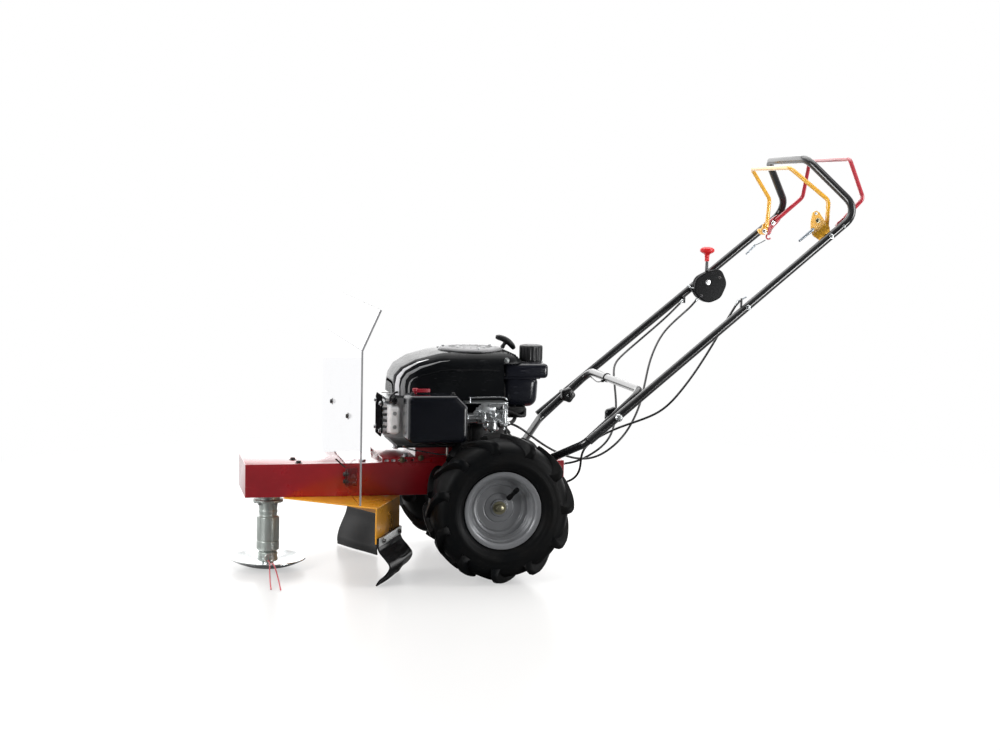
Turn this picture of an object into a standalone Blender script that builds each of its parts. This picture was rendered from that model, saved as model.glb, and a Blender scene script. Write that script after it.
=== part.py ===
"""Two-wheeled walk-behind brush cutter with a nylon line head.

X runs towards the operator, Y to the machine's right-hand side and Z up, in metres.
The ground is Z = 0, and lengths along the machine are given from the wheel axle.
Heights are given for the tyres as drawn; RIDE is what other tyres add to them.
"""
import math

import bmesh
import bpy
from mathutils import Matrix, Vector

# Lay-out
AXLE_X = -0.1414
GAP = 0.0003
WELD = 0.00002
SIDES = (("left", -1), ("right", 1))

# Wheels
TYRE_RADIUS = 0.165
AXLE_Z = 0.165
RIDE = TYRE_RADIUS - AXLE_Z
TYRE_HALF_WIDTH = 0.060
TYRE_WALL = 0.006
TYRE_SQUARENESS = 2.6
LUG_HEIGHT = 0.009
LUGS_PER_SIDE = 11
LUG_SWEEP = math.radians(21)
TRACK = 0.405
BEAD_RADIUS = 0.077
RIM_LIP_RADIUS = 0.087
RIM_HALF_WIDTH = 0.048
RIM_WALL = 0.003
RIM_WELL_RADIUS = 0.067
DISC_OFFSET = 0.006
HUB_RADIUS = 0.019
SHAFT_RADIUS = 0.0095

# Chassis beam, an inverted tray of red sheet
SHEET = 0.003
CHASSIS_REAR = 0.181
CHASSIS_WIDTH = 0.175
CHASSIS_BOTTOM = 0.1755
CHASSIS_TOP = 0.250
CHASSIS_LIP = 0.020
MOUTH_FRONT = -0.400

# Cutting head
HEAD_AHEAD = 0.4923
CHASSIS_FRONT = -HEAD_AHEAD - 0.0597
HEAD_SHAFT_RADIUS = 0.010
HOUSING_NECK_RADIUS = 0.0195
HOUSING_RADIUS = 0.0245
HOUSING_WALL = 0.004
HOUSING_STEP = 0.117
HOUSING_BOTTOM = 0.038
HOUSING_FLANGE_RADIUS = 0.034
FLANGE_THICKNESS = 0.005
HOLDER_RADIUS = 0.023
HOLDER_HEIGHT = 0.024
DISH_RADIUS = 0.086
DISH_RISE = 0.020
DISH_SHEET = 0.0025
DISH_HUB_RADIUS = 0.014
DISH_HUB_TOP = 0.0120
DISH_STUB_RADIUS = 0.006
LINE_RADIUS = 0.0015
EYE_RADIUS = 0.0095
EYE_WIRE = 0.002

# Belt drive inside the chassis
CRANK_AHEAD = 0.028
CRANK_RADIUS = 0.0125
CRANK_PULLEY_RADIUS = 0.030
HEAD_PULLEY_RADIUS = 0.045
HEAD_BELT_Z = 0.226
DRIVE_BELT_Z = 0.205
PULLEY_WIDTH = 0.014
BELT_WIDTH = 0.010
BELT_DEPTH = 0.008
BELT_TAPER = 0.0015
AXLE_PULLEY_RADIUS = 0.050
AXLE_PULLEY_BACK = 0.105
IDLER_RADIUS = 0.016
IDLER_AHEAD = 0.200
IDLER_ARM = 0.085
IDLER_TRAVEL = 0.006
IDLER_PIN_RADIUS = 0.004

# Guard, flaps and shield
GUARD_SHEET = 0.003
GUARD_FRONT = -HEAD_AHEAD + 0.0253
GUARD_CORNER = -0.280
GUARD_CORNER_SIDE = 0.240
GUARD_REAR = -0.203
GUARD_WALL_BOTTOM = 0.0945
GUARD_NOTCH = -HEAD_AHEAD + 0.0773
GUARD_NOTCH_HALF = 0.050
FLAP_THICKNESS = 0.004
FLAP_BOTTOM = 0.0024
FLAP_OVERLAP = 0.0125
CLAMP_HEIGHT = 0.0175
CLAMP_SHEET = 0.0025
SHIELD_X = -0.328
SHIELD_HALF_WIDTH = 0.320
SHIELD_THICKNESS = 0.004
SHIELD_BOTTOM = 0.195
SHIELD_BEND_Z = 0.526
SHIELD_TOP_Z = 0.613
SHIELD_LEAN = 0.039
BRACKET_LEG = 0.026
BRACKET_SHEET = 0.0025
BRACKET_HEIGHT = 0.040

# Axle gearbox
GEARBOX_RADIUS = 0.030
GEARBOX_HALF_WIDTH = CHASSIS_WIDTH / 2 - CHASSIS_LIP - 0.0035
GEARBOX_NECK_RADIUS = 0.024

# Engine
PLATE_FRONT = -0.245
PLATE_REAR = 0.115
PLATE_HEIGHT = 0.0115
PEDESTAL_FRONT = -0.168
PEDESTAL_REAR = 0.092
PEDESTAL_HALF_WIDTH = 0.078
PEDESTAL_HEIGHT = 0.022
SLOT_LENGTH = 0.010
SLOT_HEIGHT = 0.005
SLOT_PITCH = 0.0155
SLOT_COUNT = 5
CRANKCASE_RADIUS = 0.086
CRANKCASE_HEIGHT = 0.064
SKIRT_FRONT = -0.212
SKIRT_REAR = 0.085
SKIRT_HALF_WIDTH = 0.090
CYLINDER_FRONT = -0.237
CYLINDER_HALF_WIDTH = 0.048
CYLINDER_BOTTOM = 0.303
CYLINDER_TOP = 0.393
FIN_COUNT = 7
FIN_DEPTH = 0.022
SHROUD_BOTTOM = 0.354
SHROUD_NOSE_BOTTOM = 0.401
SHROUD_WALL = 0.0025
SHROUD_HALF_WIDTH = 0.100
SHROUD_TOP = 0.499
FLYWHEEL_RADIUS = 0.058
FLYWHEEL_BOTTOM = 0.366
FLYWHEEL_HEIGHT = 0.036
STARTER_CAP_RADIUS = 0.0755
STARTER_CAP_HEIGHT = 0.008
TANK_FRONT = 0.032
TANK_REAR = 0.138
TANK_HALF_WIDTH = 0.088
TANK_BOTTOM = 0.374
TANK_TOP = 0.475
TANK_ROUND = 0.022
CAP_BACK = 0.110
CAP_SIDE = -0.030
CAP_RADIUS = 0.0270
CAP_HEIGHT = 0.038
CAP_FLUTES = 12
AIRBOX_FRONT = -0.204
AIRBOX_REAR = -0.070
AIRBOX_BOTTOM = 0.308 + 0.9 * RIDE
AIRBOX_TOP = 0.413
AIRBOX_FACE = -0.190
AIRBOX_SPLIT = -0.122
AIRBOX_CHAMFER = 0.024
GRIP_TILT = math.radians(32)
GRIP_LENGTH = 0.058
GRIP_RADIUS = 0.0075
ROPE_RADIUS = 0.002
ROPE_LENGTH = 0.017

# Handlebars
TUBE_RADIUS = 0.0095
TUBE_WALL = 0.002
LOWER_SIDE = 0.2105
UPPER_SIDE = 0.2335
UPPER_LEG = ((0.198, 0.2335, 0.3163), (0.832, 0.2170, 0.8390))
UPPER_CORNER = (0.739, 0.122, 0.956)
UPPER_BEND_RADIUS = 0.045
CORNER_BEND_RADIUS = 0.030
PIVOT_BACK = 0.262
PIVOT_Z = 0.369
CLAMP_BOLT_RADIUS = 0.004
KNOB_RADIUS = 0.019
KNOB_THICKNESS = 0.018
KNOB_LOBES = 5
BAIL_RADIUS = 0.0052
BAIL_PIN_RADIUS = 0.003
YELLOW_BACK = 0.762
RED_BACK = 0.788
YELLOW_SIDE = 0.190
RED_SIDE = 0.199
LEVER_SHEET = 0.004

# Throttle
THROTTLE_PIVOT = (0.6166, 0.6512)
THROTTLE_SIDE = 0.1994
THROTTLE_THICKNESS = 0.024
THROTTLE_SLOT = 0.006
THROTTLE_FORWARD = math.radians(45)
THROTTLE_BACK = math.radians(20)
THROTTLE_LEVER_LENGTH = 0.052
THROTTLE_KNOB_RADIUS = 0.0160

# Cables
CABLE_RADIUS = 0.0026
CABLE_STEP = 0.0155

# Number of flats on round pieces
WHEEL_STEPS = 20
ROUND_STEPS = 18
SMALL_STEPS = 10

# Finishes: colour, roughness, metallic
FINISHES = {
    "red_paint": ((0.50, 0.015, 0.02), 0.30, 0.0),
    "orange_paint": ((0.85, 0.36, 0.02), 0.35, 0.0),
    "yellow_paint": ((0.90, 0.45, 0.03), 0.30, 0.0),
    "black_paint": ((0.012, 0.012, 0.013), 0.28, 0.0),
    "zinc": ((0.62, 0.65, 0.66), 0.32, 1.0),
    "steel": ((0.45, 0.46, 0.47), 0.35, 1.0),
    "aluminium": ((0.72, 0.73, 0.74), 0.38, 1.0),
    "rim_paint": ((0.20, 0.22, 0.25), 0.40, 0.3),
    "tyre_rubber": ((0.011, 0.011, 0.012), 0.75, 0.0),
    "flap_rubber": ((0.015, 0.015, 0.016), 0.45, 0.0),
    "black_plastic": ((0.014, 0.014, 0.016), 0.45, 0.0),
    "red_plastic": ((0.70, 0.02, 0.02), 0.30, 0.0),
    "clear_sheet": ((0.80, 0.82, 0.86), 0.05, 0.0),
    "nylon_line": ((0.75, 0.06, 0.10), 0.35, 0.0),
    "cast_iron": ((0.06, 0.06, 0.065), 0.60, 0.6),
}


def clear_scene():
    for obj in list(bpy.data.objects):
        bpy.data.objects.remove(obj, do_unlink=True)


def make_collection(name):
    collection = bpy.data.collections.new(name)
    bpy.context.scene.collection.children.link(collection)
    return collection


def at(back, side, up):
    """A point by its distance behind the axle, to the right, and above the ground."""
    return Vector((AXLE_X + back, side, up + RIDE))


def grounded(back, side, up):
    """The same for what stands on the ground, whatever the tyres."""
    return Vector((AXLE_X + back, side, up))


def place(name, data, location=(0, 0, 0)):
    obj = bpy.data.objects.new(name, data)
    obj.location = location
    PARTS.objects.link(obj)
    return obj


def finish(obj, key, smooth_angle=0.6):
    """The object's own material, and smooth shading up to the given crease angle."""
    colour, roughness, metallic = FINISHES[key]
    material = bpy.data.materials.new(obj.name + "_" + key)
    material.use_nodes = True
    shader = material.node_tree.nodes["Principled BSDF"]
    shader.inputs["Base Color"].default_value = (*colour, 1.0)
    shader.inputs["Roughness"].default_value = roughness
    shader.inputs["Metallic"].default_value = metallic
    obj.data.materials.clear()
    obj.data.materials.append(material)
    if obj.type == "MESH":
        obj.data.shade_smooth()
        obj.data.set_sharp_from_angle(angle=smooth_angle)
    return obj


def solid(obj):
    """The object as a plain welded mesh, with its curve or modifiers worked out."""
    bpy.context.view_layer.update()
    evaluated = obj.evaluated_get(bpy.context.evaluated_depsgraph_get())
    mesh = bpy.data.meshes.new_from_object(evaluated)
    welded = bmesh.new()
    welded.from_mesh(mesh)
    bmesh.ops.remove_doubles(welded, verts=welded.verts, dist=WELD)
    welded.to_mesh(mesh)
    welded.free()
    matrix = obj.matrix_world.copy()
    name = obj.name
    bpy.data.objects.remove(obj, do_unlink=True)
    new = place(name, mesh)
    new.name = name
    new.matrix_world = matrix
    return new


def boolean(obj, tool, operation):
    bpy.context.view_layer.update()
    modifier = obj.modifiers.new(operation.lower(), "BOOLEAN")
    modifier.operation = operation
    modifier.solver = "EXACT"
    modifier.object = tool
    for collection in list(tool.users_collection):
        collection.objects.unlink(tool)
    CUTTERS.objects.link(tool)
    tool.hide_render = True
    tool.display_type = "WIRE"
    return obj


def cut(obj, *tools):
    for tool in tools:
        boolean(obj, tool, "DIFFERENCE")
    return obj


def fuse(obj, *others):
    for other in others:
        boolean(obj, other, "UNION")
    return obj


def round_edges(obj, width, segments=2, angle=0.6):
    modifier = obj.modifiers.new("round_edges", "BEVEL")
    modifier.width = width
    modifier.segments = segments
    modifier.limit_method = "ANGLE"
    modifier.angle_limit = angle
    return obj


def block(name, low, high):
    low = Vector(low)
    high = Vector(high)
    mesh = bpy.data.meshes.new(name)
    shape = bmesh.new()
    bmesh.ops.create_cube(shape, size=1.0)
    bmesh.ops.scale(shape, vec=high - low, verts=shape.verts)
    shape.to_mesh(mesh)
    shape.free()
    return place(name, mesh, (low + high) / 2)


def turn_to(direction):
    return Vector(direction).to_track_quat("Z", "Y").to_matrix().to_4x4()


def rod(name, start, end, radius, steps=SMALL_STEPS, end_radius=None):
    """A round bar or a cone between two points, with its origin at the start."""
    start = Vector(start)
    run = Vector(end) - start
    mesh = bpy.data.meshes.new(name)
    shape = bmesh.new()
    bmesh.ops.create_cone(
        shape, cap_ends=True, segments=steps, depth=run.length, radius1=radius,
        radius2=radius if end_radius is None else end_radius,
        matrix=Matrix.Translation((0, 0, run.length / 2)),
    )
    shape.transform(turn_to(run))
    shape.to_mesh(mesh)
    shape.free()
    return place(name, mesh, start)


def turned(name, profile, origin, axis=(0, 0, 1), steps=ROUND_STEPS, ring=False):
    """A profile of (radius, height) points from top to bottom, turned about the axis."""
    mesh = bpy.data.meshes.new(name)
    edges = [(i, i + 1) for i in range(len(profile) - 1)]
    if ring:
        edges.append((len(profile) - 1, 0))
    mesh.from_pydata([(radius, 0, height) for radius, height in profile], edges, [])
    obj = place(name, mesh)
    obj.matrix_world = Matrix.Translation(origin) @ turn_to(axis)
    screw = obj.modifiers.new("turn", "SCREW")
    screw.steps = steps
    screw.render_steps = steps
    screw.use_merge_vertices = True
    screw.merge_threshold = WELD
    screw.use_normal_calculate = False
    return obj


def curve(name, lists, cyclic, dimensions="3D"):
    data = bpy.data.curves.new(name, "CURVE")
    data.dimensions = dimensions
    data.render_resolution_u = 0
    for points in lists:
        spline = data.splines.new("POLY")
        spline.points.add(len(points) - 1)
        for point, place_at in zip(spline.points, points):
            point.co = (*place_at, 1.0)
        spline.use_cyclic_u = cyclic
    return data


def plate(name, outlines, thickness, origin, across, up):
    """Flat outlines extruded: u runs along across, v along up, w is their normal."""
    flat = [[(u, v, 0) for u, v in outline] for outline in outlines]
    data = curve(name, flat, True, "2D")
    data.fill_mode = "BOTH"
    data.extrude = thickness / 2
    across = Vector(across).normalized()
    up = Vector(up).normalized()
    normal = across.cross(up)
    obj = place(name, data)
    turn = Matrix((across, up, normal)).transposed().to_4x4()
    obj.matrix_world = Matrix.Translation(origin) @ turn
    return solid(obj)


def side_plate(name, outline, thickness, side):
    """A plate in the XZ plane, its outline in lengths behind the axle and heights."""
    points = [(AXLE_X + back, up) for back, up in outline]
    return plate(name, [points], thickness, (0, side, RIDE), (1, 0, 0), (0, 0, 1))


def bend(points, radius, steps=4):
    """The points with each inner corner rounded to an arc of the given radius."""
    points = [Vector(point) for point in points]
    path = [points[0]]
    for before, corner, after in zip(points, points[1:], points[2:]):
        arrive = (before - corner).normalized()
        leave = (after - corner).normalized()
        half = arrive.angle(leave) / 2
        setback = radius / math.tan(half)
        centre = corner + (arrive + leave).normalized() * (radius / math.sin(half))
        first = corner + arrive * setback - centre
        last = corner + leave * setback - centre
        sweep = first.angle(last)
        for i in range(steps + 1):
            share = i / steps
            spoke = first * math.sin((1 - share) * sweep) + last * math.sin(share * sweep)
            path.append(centre + spoke / math.sin(sweep))
    path.append(points[-1])
    return path


def rounded(outline, radius):
    """A closed flat outline with every corner rounded."""
    points = [Vector((u, v, 0)) for u, v in outline]
    path = bend([points[-1]] + points + [points[0]], radius, 3)[1:-1]
    return [(point.x, point.y) for point in path]


def tube(name, path, radius, sides=8, caps=True):
    data = curve(name, [path], False)
    data.bevel_depth = radius
    data.bevel_resolution = (sides - 4) // 2
    data.use_fill_caps = caps
    data.twist_mode = "MINIMUM"
    return solid(place(name, data))


def pipe(name, path, radius, wall):
    """A hollow tube with open ends: rings along the path, outside and inside."""
    sides = 8
    path = [Vector(point) for point in path]
    shape = bmesh.new()
    across = (path[1] - path[0]).orthogonal()
    layers = []
    for i, point in enumerate(path):
        arrive = (point - path[i - 1]).normalized() if i else Vector()
        leave = (path[i + 1] - point).normalized() if point != path[-1] else Vector()
        ahead = (arrive + leave).normalized()
        across = (across - ahead * across.dot(ahead)).normalized()
        up = ahead.cross(across)
        ring = []
        for size in (radius, radius - wall):
            for k in range(sides):
                turn = 2 * math.pi * (k + 0.5) / sides
                ring.append(shape.verts.new(
                    point + (across * math.cos(turn) + up * math.sin(turn)) * size))
        layers.append(ring)
    for k in range(sides):
        n = (k + 1) % sides
        for first, last in zip(layers, layers[1:]):
            shape.faces.new((first[k], first[n], last[n], last[k]))
            shape.faces.new((first[sides + n], first[sides + k], last[sides + k],
                             last[sides + n]))
        for end in (layers[0], layers[-1]):
            shape.faces.new((end[k], end[sides + k], end[sides + n], end[n]))
    bmesh.ops.recalc_face_normals(shape, faces=shape.faces)
    mesh = bpy.data.meshes.new(name)
    shape.to_mesh(mesh)
    shape.free()
    return place(name, mesh)


def smooth_route(points, step):
    """Evenly spaced points on a smooth curve through the given points."""
    points = [Vector(point) for point in points]
    ends = [2 * points[0] - points[1]] + points + [2 * points[-1] - points[-2]]
    fine = []
    for p0, p1, p2, p3 in zip(ends, ends[1:], ends[2:], ends[3:]):
        for i in range(16):
            t = i / 16
            fine.append(0.5 * (2 * p1 + (p2 - p0) * t + (2 * p0 - 5 * p1 + 4 * p2 - p3) * t * t
                               + (3 * p1 - p0 - 3 * p2 + p3) * t ** 3))
    fine.append(points[-1])
    total = sum((b - a).length for a, b in zip(fine, fine[1:]))
    count = max(4, round(total / step))
    route = [fine[0]]
    walked = 0.0
    for a, b in zip(fine, fine[1:]):
        run = (b - a).length
        while len(route) < count and walked + run >= total * len(route) / count:
            share = (total * len(route) / count - walked) / run
            route.append(a.lerp(b, share))
        walked += run
    route.append(fine[-1])
    return route


def signed_power(value, power):
    return math.copysign(abs(value) ** power, value)


def carcass_point(angle, inset):
    """Radius and width of the tyre's superellipse section at an angle from the crown."""
    crown = TYRE_RADIUS - LUG_HEIGHT
    middle = (crown + BEAD_RADIUS) / 2
    power = 2 / TYRE_SQUARENESS
    radius = middle + ((crown - BEAD_RADIUS) / 2 - inset) * signed_power(math.cos(angle), power)
    width = (TYRE_HALF_WIDTH - inset) * signed_power(math.sin(angle), power)
    return radius, width


def carcass_radius(width):
    """Outer radius of the carcass at a distance from its middle plane."""
    power = 2 / TYRE_SQUARENESS
    sine = min(1.0, abs(width) / TYRE_HALF_WIDTH) ** (1 / power)
    return carcass_point(math.asin(sine), 0)[0]


def tyre_section():
    """Closed section: outer wall from the +width bead over the crown, inner wall back."""
    heel = BEAD_RADIUS + GAP
    bead_out = RIM_HALF_WIDTH - RIM_WALL - 0.0025
    bead_in = bead_out - 0.012
    outer = [(RIM_LIP_RADIUS + 0.0015, bead_out + 0.002)]
    outer += [carcass_point(math.radians(a), 0) for a in (108, 84, 60, 36, 14)]
    inner = [carcass_point(math.radians(a), TYRE_WALL) for a in (-128, -50, 50, 128)]
    section = [(heel, bead_out)] + outer
    section += [(radius, -width) for radius, width in reversed(outer)]
    section += [(heel, -bead_out), (heel, -bead_in)] + inner + [(heel, bead_in)]
    return section


def lug(shape, start, side):
    """One tread bar, lofted from the shoulder over the crown in a V with its mate."""
    stations = []
    for t in (0.0, 0.35, 1.0):
        width = TYRE_HALF_WIDTH * (1.06 - 1.10 * t)
        base = carcass_radius(width) - 0.6 * TYRE_WALL if t else TYRE_RADIUS * 0.84
        top = TYRE_RADIUS * (0.915 if t == 0 else 1.0 - 0.012 * (1 - t))
        middle = start + LUG_SWEEP * t ** 0.8
        spread_base = 0.0100 / base
        spread_top = 0.0072 / top
        ring = []
        for radius, angle in ((base, -spread_base), (top, -spread_top),
                              (top, spread_top), (base, spread_base)):
            turn = middle + angle
            ring.append(shape.verts.new(
                (radius * math.cos(turn), radius * math.sin(turn), side * width)))
        stations.append(ring)
    for ring, after in zip(stations, stations[1:]):
        for i in range(4):
            j = (i + 1) % 4
            shape.faces.new((ring[i], ring[j], after[j], after[i]))
    shape.faces.new(stations[0])
    shape.faces.new(stations[-1])


def tread_lugs(name, origin, axis):
    mesh = bpy.data.meshes.new(name)
    shape = bmesh.new()
    pitch = 2 * math.pi / LUGS_PER_SIDE
    for i in range(LUGS_PER_SIDE):
        lug(shape, i * pitch, 1)
        lug(shape, (i + 0.5) * pitch, -1)
    bmesh.ops.recalc_face_normals(shape, faces=shape.faces)
    shape.to_mesh(mesh)
    shape.free()
    obj = place(name, mesh)
    obj.matrix_world = Matrix.Translation(origin) @ turn_to(axis)
    return obj


def wheel(side_name, side):
    """Tyre, rim and half shaft of one wheel, turned about the axle with +height outwards."""
    centre = at(0, side * TRACK / 2, AXLE_Z)
    outward = (0, side, 0)
    tyre = turned("tyre_" + side_name, tyre_section(), centre, outward, WHEEL_STEPS, ring=True)
    fuse(tyre, tread_lugs("tread_" + side_name, centre, outward))
    finish(tyre, "tyre_rubber")

    seat_in = RIM_HALF_WIDTH - RIM_WALL
    well_wall = RIM_WELL_RADIUS - RIM_WALL
    bore = SHAFT_RADIUS + GAP
    section = [
        (RIM_LIP_RADIUS, RIM_HALF_WIDTH), (RIM_LIP_RADIUS, seat_in),
        (BEAD_RADIUS, seat_in), (BEAD_RADIUS, 0.028), (RIM_WELL_RADIUS, 0.018),
        (RIM_WELL_RADIUS, -0.018), (BEAD_RADIUS, -0.028), (BEAD_RADIUS, -seat_in),
        (RIM_LIP_RADIUS, -seat_in), (RIM_LIP_RADIUS, -RIM_HALF_WIDTH),
        (BEAD_RADIUS - RIM_WALL, -RIM_HALF_WIDTH), (well_wall, -0.020),
        (well_wall, DISC_OFFSET - RIM_WALL), (HUB_RADIUS, DISC_OFFSET - RIM_WALL),
        (HUB_RADIUS, -RIM_HALF_WIDTH), (bore, -RIM_HALF_WIDTH),
        (bore, DISC_OFFSET + 0.004), (HUB_RADIUS, DISC_OFFSET + 0.004), (0.051, DISC_OFFSET),
        (0.054, DISC_OFFSET + 0.007), (well_wall, DISC_OFFSET + 0.008),
        (well_wall, 0.020), (BEAD_RADIUS - RIM_WALL, 0.030),
        (BEAD_RADIUS - RIM_WALL, RIM_HALF_WIDTH),
    ]
    rim = turned("rim_" + side_name, section, centre, outward, WHEEL_STEPS, ring=True)
    finish(rim, "rim_paint")

    inner_end = side * (GEARBOX_HALF_WIDTH - 0.020)
    face = TRACK / 2 + DISC_OFFSET + 0.004 + GAP
    shaft = rod("half_shaft_" + side_name, at(0, inner_end, AXLE_Z),
                at(0, side * (face + 0.002), AXLE_Z), SHAFT_RADIUS)
    bolt_head = rod("axle_bolt", at(0, side * face, AXLE_Z),
                    at(0, side * (face + 0.009), AXLE_Z), SHAFT_RADIUS + 0.003, 6)
    fuse(shaft, bolt_head)
    finish(shaft, "zinc")


def chassis_beam():
    half = CHASSIS_WIDTH / 2
    beam = block("chassis_beam", at(CHASSIS_FRONT, -half, CHASSIS_BOTTOM),
                 at(CHASSIS_REAR, half, CHASSIS_TOP))
    hollow = block("beam_hollow", at(CHASSIS_FRONT + SHEET, SHEET - half, CHASSIS_BOTTOM + SHEET),
                   at(CHASSIS_REAR - SHEET, half - SHEET, CHASSIS_TOP - SHEET))
    mouth = block("beam_mouth", at(MOUTH_FRONT, CHASSIS_LIP - half, CHASSIS_BOTTOM - SHEET),
                  at(CHASSIS_REAR - CHASSIS_LIP, half - CHASSIS_LIP, CHASSIS_BOTTOM + 2 * SHEET))
    crank_hole = rod("crank_hole", at(-CRANK_AHEAD, 0, CHASSIS_TOP - 0.01),
                     at(-CRANK_AHEAD, 0, CHASSIS_TOP + 0.01), CRANK_RADIUS + 0.004, ROUND_STEPS)
    shaft_hole = rod("shaft_hole", at(-HEAD_AHEAD, 0, CHASSIS_BOTTOM - 0.01),
                     at(-HEAD_AHEAD, 0, CHASSIS_BOTTOM + 0.01), HEAD_SHAFT_RADIUS + 0.003)
    pin_hole = rod("idler_pin_hole", idler_pivot(CHASSIS_TOP - 0.01),
                   idler_pivot(CHASSIS_TOP + 0.01), IDLER_PIN_RADIUS + GAP)
    cable_hole = rod("cable_hole", CLUTCH_END - Vector((0.02, 0, 0)),
                     CLUTCH_END + Vector((0.02, 0, 0)), CABLE_RADIUS + 2 * GAP)
    cut(beam, hollow, mouth, crank_hole, shaft_hole, pin_hole, cable_hole)
    finish(beam, "red_paint")


def idler_pivot(up):
    """The idler arm's pin: the arm lies along X, beside the belt's left-hand run."""
    return at(-IDLER_AHEAD - IDLER_ARM, idler_side(), up)


def idler_side():
    """Side position of the idler, its travel away from the belt's outer face."""
    reach = HEAD_AHEAD - CRANK_AHEAD
    share = (HEAD_AHEAD - IDLER_AHEAD) / reach
    belt = HEAD_PULLEY_RADIUS + (CRANK_PULLEY_RADIUS - HEAD_PULLEY_RADIUS) * share
    return -(belt + IDLER_RADIUS + IDLER_TRAVEL + 2 * GAP)


def cutting_head():
    """Bearing housing under the beam, its shaft, line holder and free skid dish."""
    axis = grounded(-HEAD_AHEAD, 0, 0)
    top = CHASSIS_BOTTOM - GAP + RIDE
    step = HOUSING_STEP + RIDE
    neck_bore = HOUSING_NECK_RADIUS - HOUSING_WALL
    bore = HOUSING_RADIUS - HOUSING_WALL
    housing = turned("head_housing", [
        (HOUSING_FLANGE_RADIUS, top), (HOUSING_FLANGE_RADIUS, top - FLANGE_THICKNESS),
        (HOUSING_NECK_RADIUS, top - FLANGE_THICKNESS), (HOUSING_NECK_RADIUS, step + 0.003),
        (HOUSING_RADIUS, step), (HOUSING_RADIUS, HOUSING_BOTTOM + 0.004),
        (HOUSING_RADIUS - 0.003, HOUSING_BOTTOM), (bore, HOUSING_BOTTOM),
        (bore, step - HOUSING_WALL), (neck_bore, step), (neck_bore, top),
    ], axis, ring=True)
    finish(housing, "zinc")

    low = HOUSING_BOTTOM + 0.004
    high = low + 0.015
    shaft_bore = HEAD_SHAFT_RADIUS + GAP
    bearing = turned("head_bearing", [
        (bore - GAP, high), (bore - GAP, low), (shaft_bore, low), (shaft_bore, high),
    ], axis, ring=True)
    finish(bearing, "steel")

    stub_bottom = DISH_HUB_TOP - 0.007
    pulley_top = HEAD_BELT_Z + PULLEY_WIDTH / 2 + RIDE
    shaft = turned("head_shaft", [
        (0, pulley_top + 0.003), (HEAD_SHAFT_RADIUS, pulley_top + 0.003),
        (HEAD_SHAFT_RADIUS, DISH_HUB_TOP + GAP), (DISH_STUB_RADIUS, DISH_HUB_TOP + GAP),
        (DISH_STUB_RADIUS, stub_bottom), (0, stub_bottom),
    ], axis)
    finish(shaft, "steel")
    pulley = pulley_on("head_pulley", at(-HEAD_AHEAD, 0, 0), HEAD_PULLEY_RADIUS, [HEAD_BELT_Z],
                       shaft_bore)
    finish(pulley, "cast_iron")

    holder_top = HOUSING_BOTTOM - 2 * GAP
    holder_low = holder_top - HOLDER_HEIGHT
    holder = turned("line_holder", [
        (HOLDER_RADIUS - 0.003, holder_top), (HOLDER_RADIUS, holder_top - 0.003),
        (HOLDER_RADIUS, holder_low + 0.003), (HOLDER_RADIUS - 0.004, holder_low),
        (shaft_bore, holder_low), (shaft_bore, holder_top),
    ], axis, ring=True)
    for side in (-1, 1):
        eye = eye_centre(side)
        boss = block("eye_boss", (eye.x - 0.004, side * 0.019, eye.z + EYE_RADIUS - 0.0035),
                     (eye.x + 0.004, eye.y + side * 0.0012, eye.z + EYE_RADIUS + 0.0015))
        fuse(holder, line_eye("line_eye", eye), boss)
    finish(holder, "zinc")
    line = tube("cutting_line", cutting_line_path(), LINE_RADIUS, sides=6)
    finish(line, "nylon_line")

    rim_low = DISH_RISE
    dish = turned("skid_dish", [
        (DISH_STUB_RADIUS + GAP, stub_bottom - GAP), (DISH_STUB_RADIUS + GAP, DISH_HUB_TOP),
        (DISH_HUB_RADIUS, DISH_HUB_TOP), (DISH_HUB_RADIUS, dish_height(DISH_HUB_RADIUS) + DISH_SHEET),
        (0.5 * DISH_RADIUS, dish_height(0.5 * DISH_RADIUS) + DISH_SHEET),
        (0.78 * DISH_RADIUS, dish_height(0.78 * DISH_RADIUS) + DISH_SHEET),
        (DISH_RADIUS - 0.001, rim_low + DISH_SHEET), (DISH_RADIUS, rim_low),
        (0.78 * DISH_RADIUS, dish_height(0.78 * DISH_RADIUS)),
        (0.5 * DISH_RADIUS, dish_height(0.5 * DISH_RADIUS)),
        (DISH_HUB_RADIUS, 0), (0, 0),
    ], axis)
    dish.data.vertices.add(1)
    dish.data.vertices[-1].co = (0, 0, stub_bottom - GAP)
    dish.data.edges.add(1)
    dish.data.edges[-1].vertices = (len(dish.data.vertices) - 1, 0)
    finish(dish, "zinc")


def dish_height(radius):
    """Height of the dish's underside, a shallow bowl with a flat middle."""
    flat = DISH_HUB_RADIUS
    return DISH_RISE * (max(0.0, radius - flat) / (DISH_RADIUS - flat)) ** 2


def eye_centre(side):
    middle = HOUSING_BOTTOM - 2 * GAP - HOLDER_HEIGHT / 2
    stand_off = EYE_WIRE + 2 * LINE_RADIUS + 3 * GAP
    return grounded(-HEAD_AHEAD, side * (HOLDER_RADIUS + stand_off), middle)


def line_eye(name, centre):
    """A ring standing off the holder and facing out, through which the line is looped."""
    bpy.ops.mesh.primitive_torus_add(
        location=centre, rotation=(math.pi / 2, 0, 0), major_radius=EYE_RADIUS,
        minor_radius=EYE_WIRE, major_segments=14, minor_segments=6)
    eye = bpy.context.object
    eye.name = name
    return eye


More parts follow.
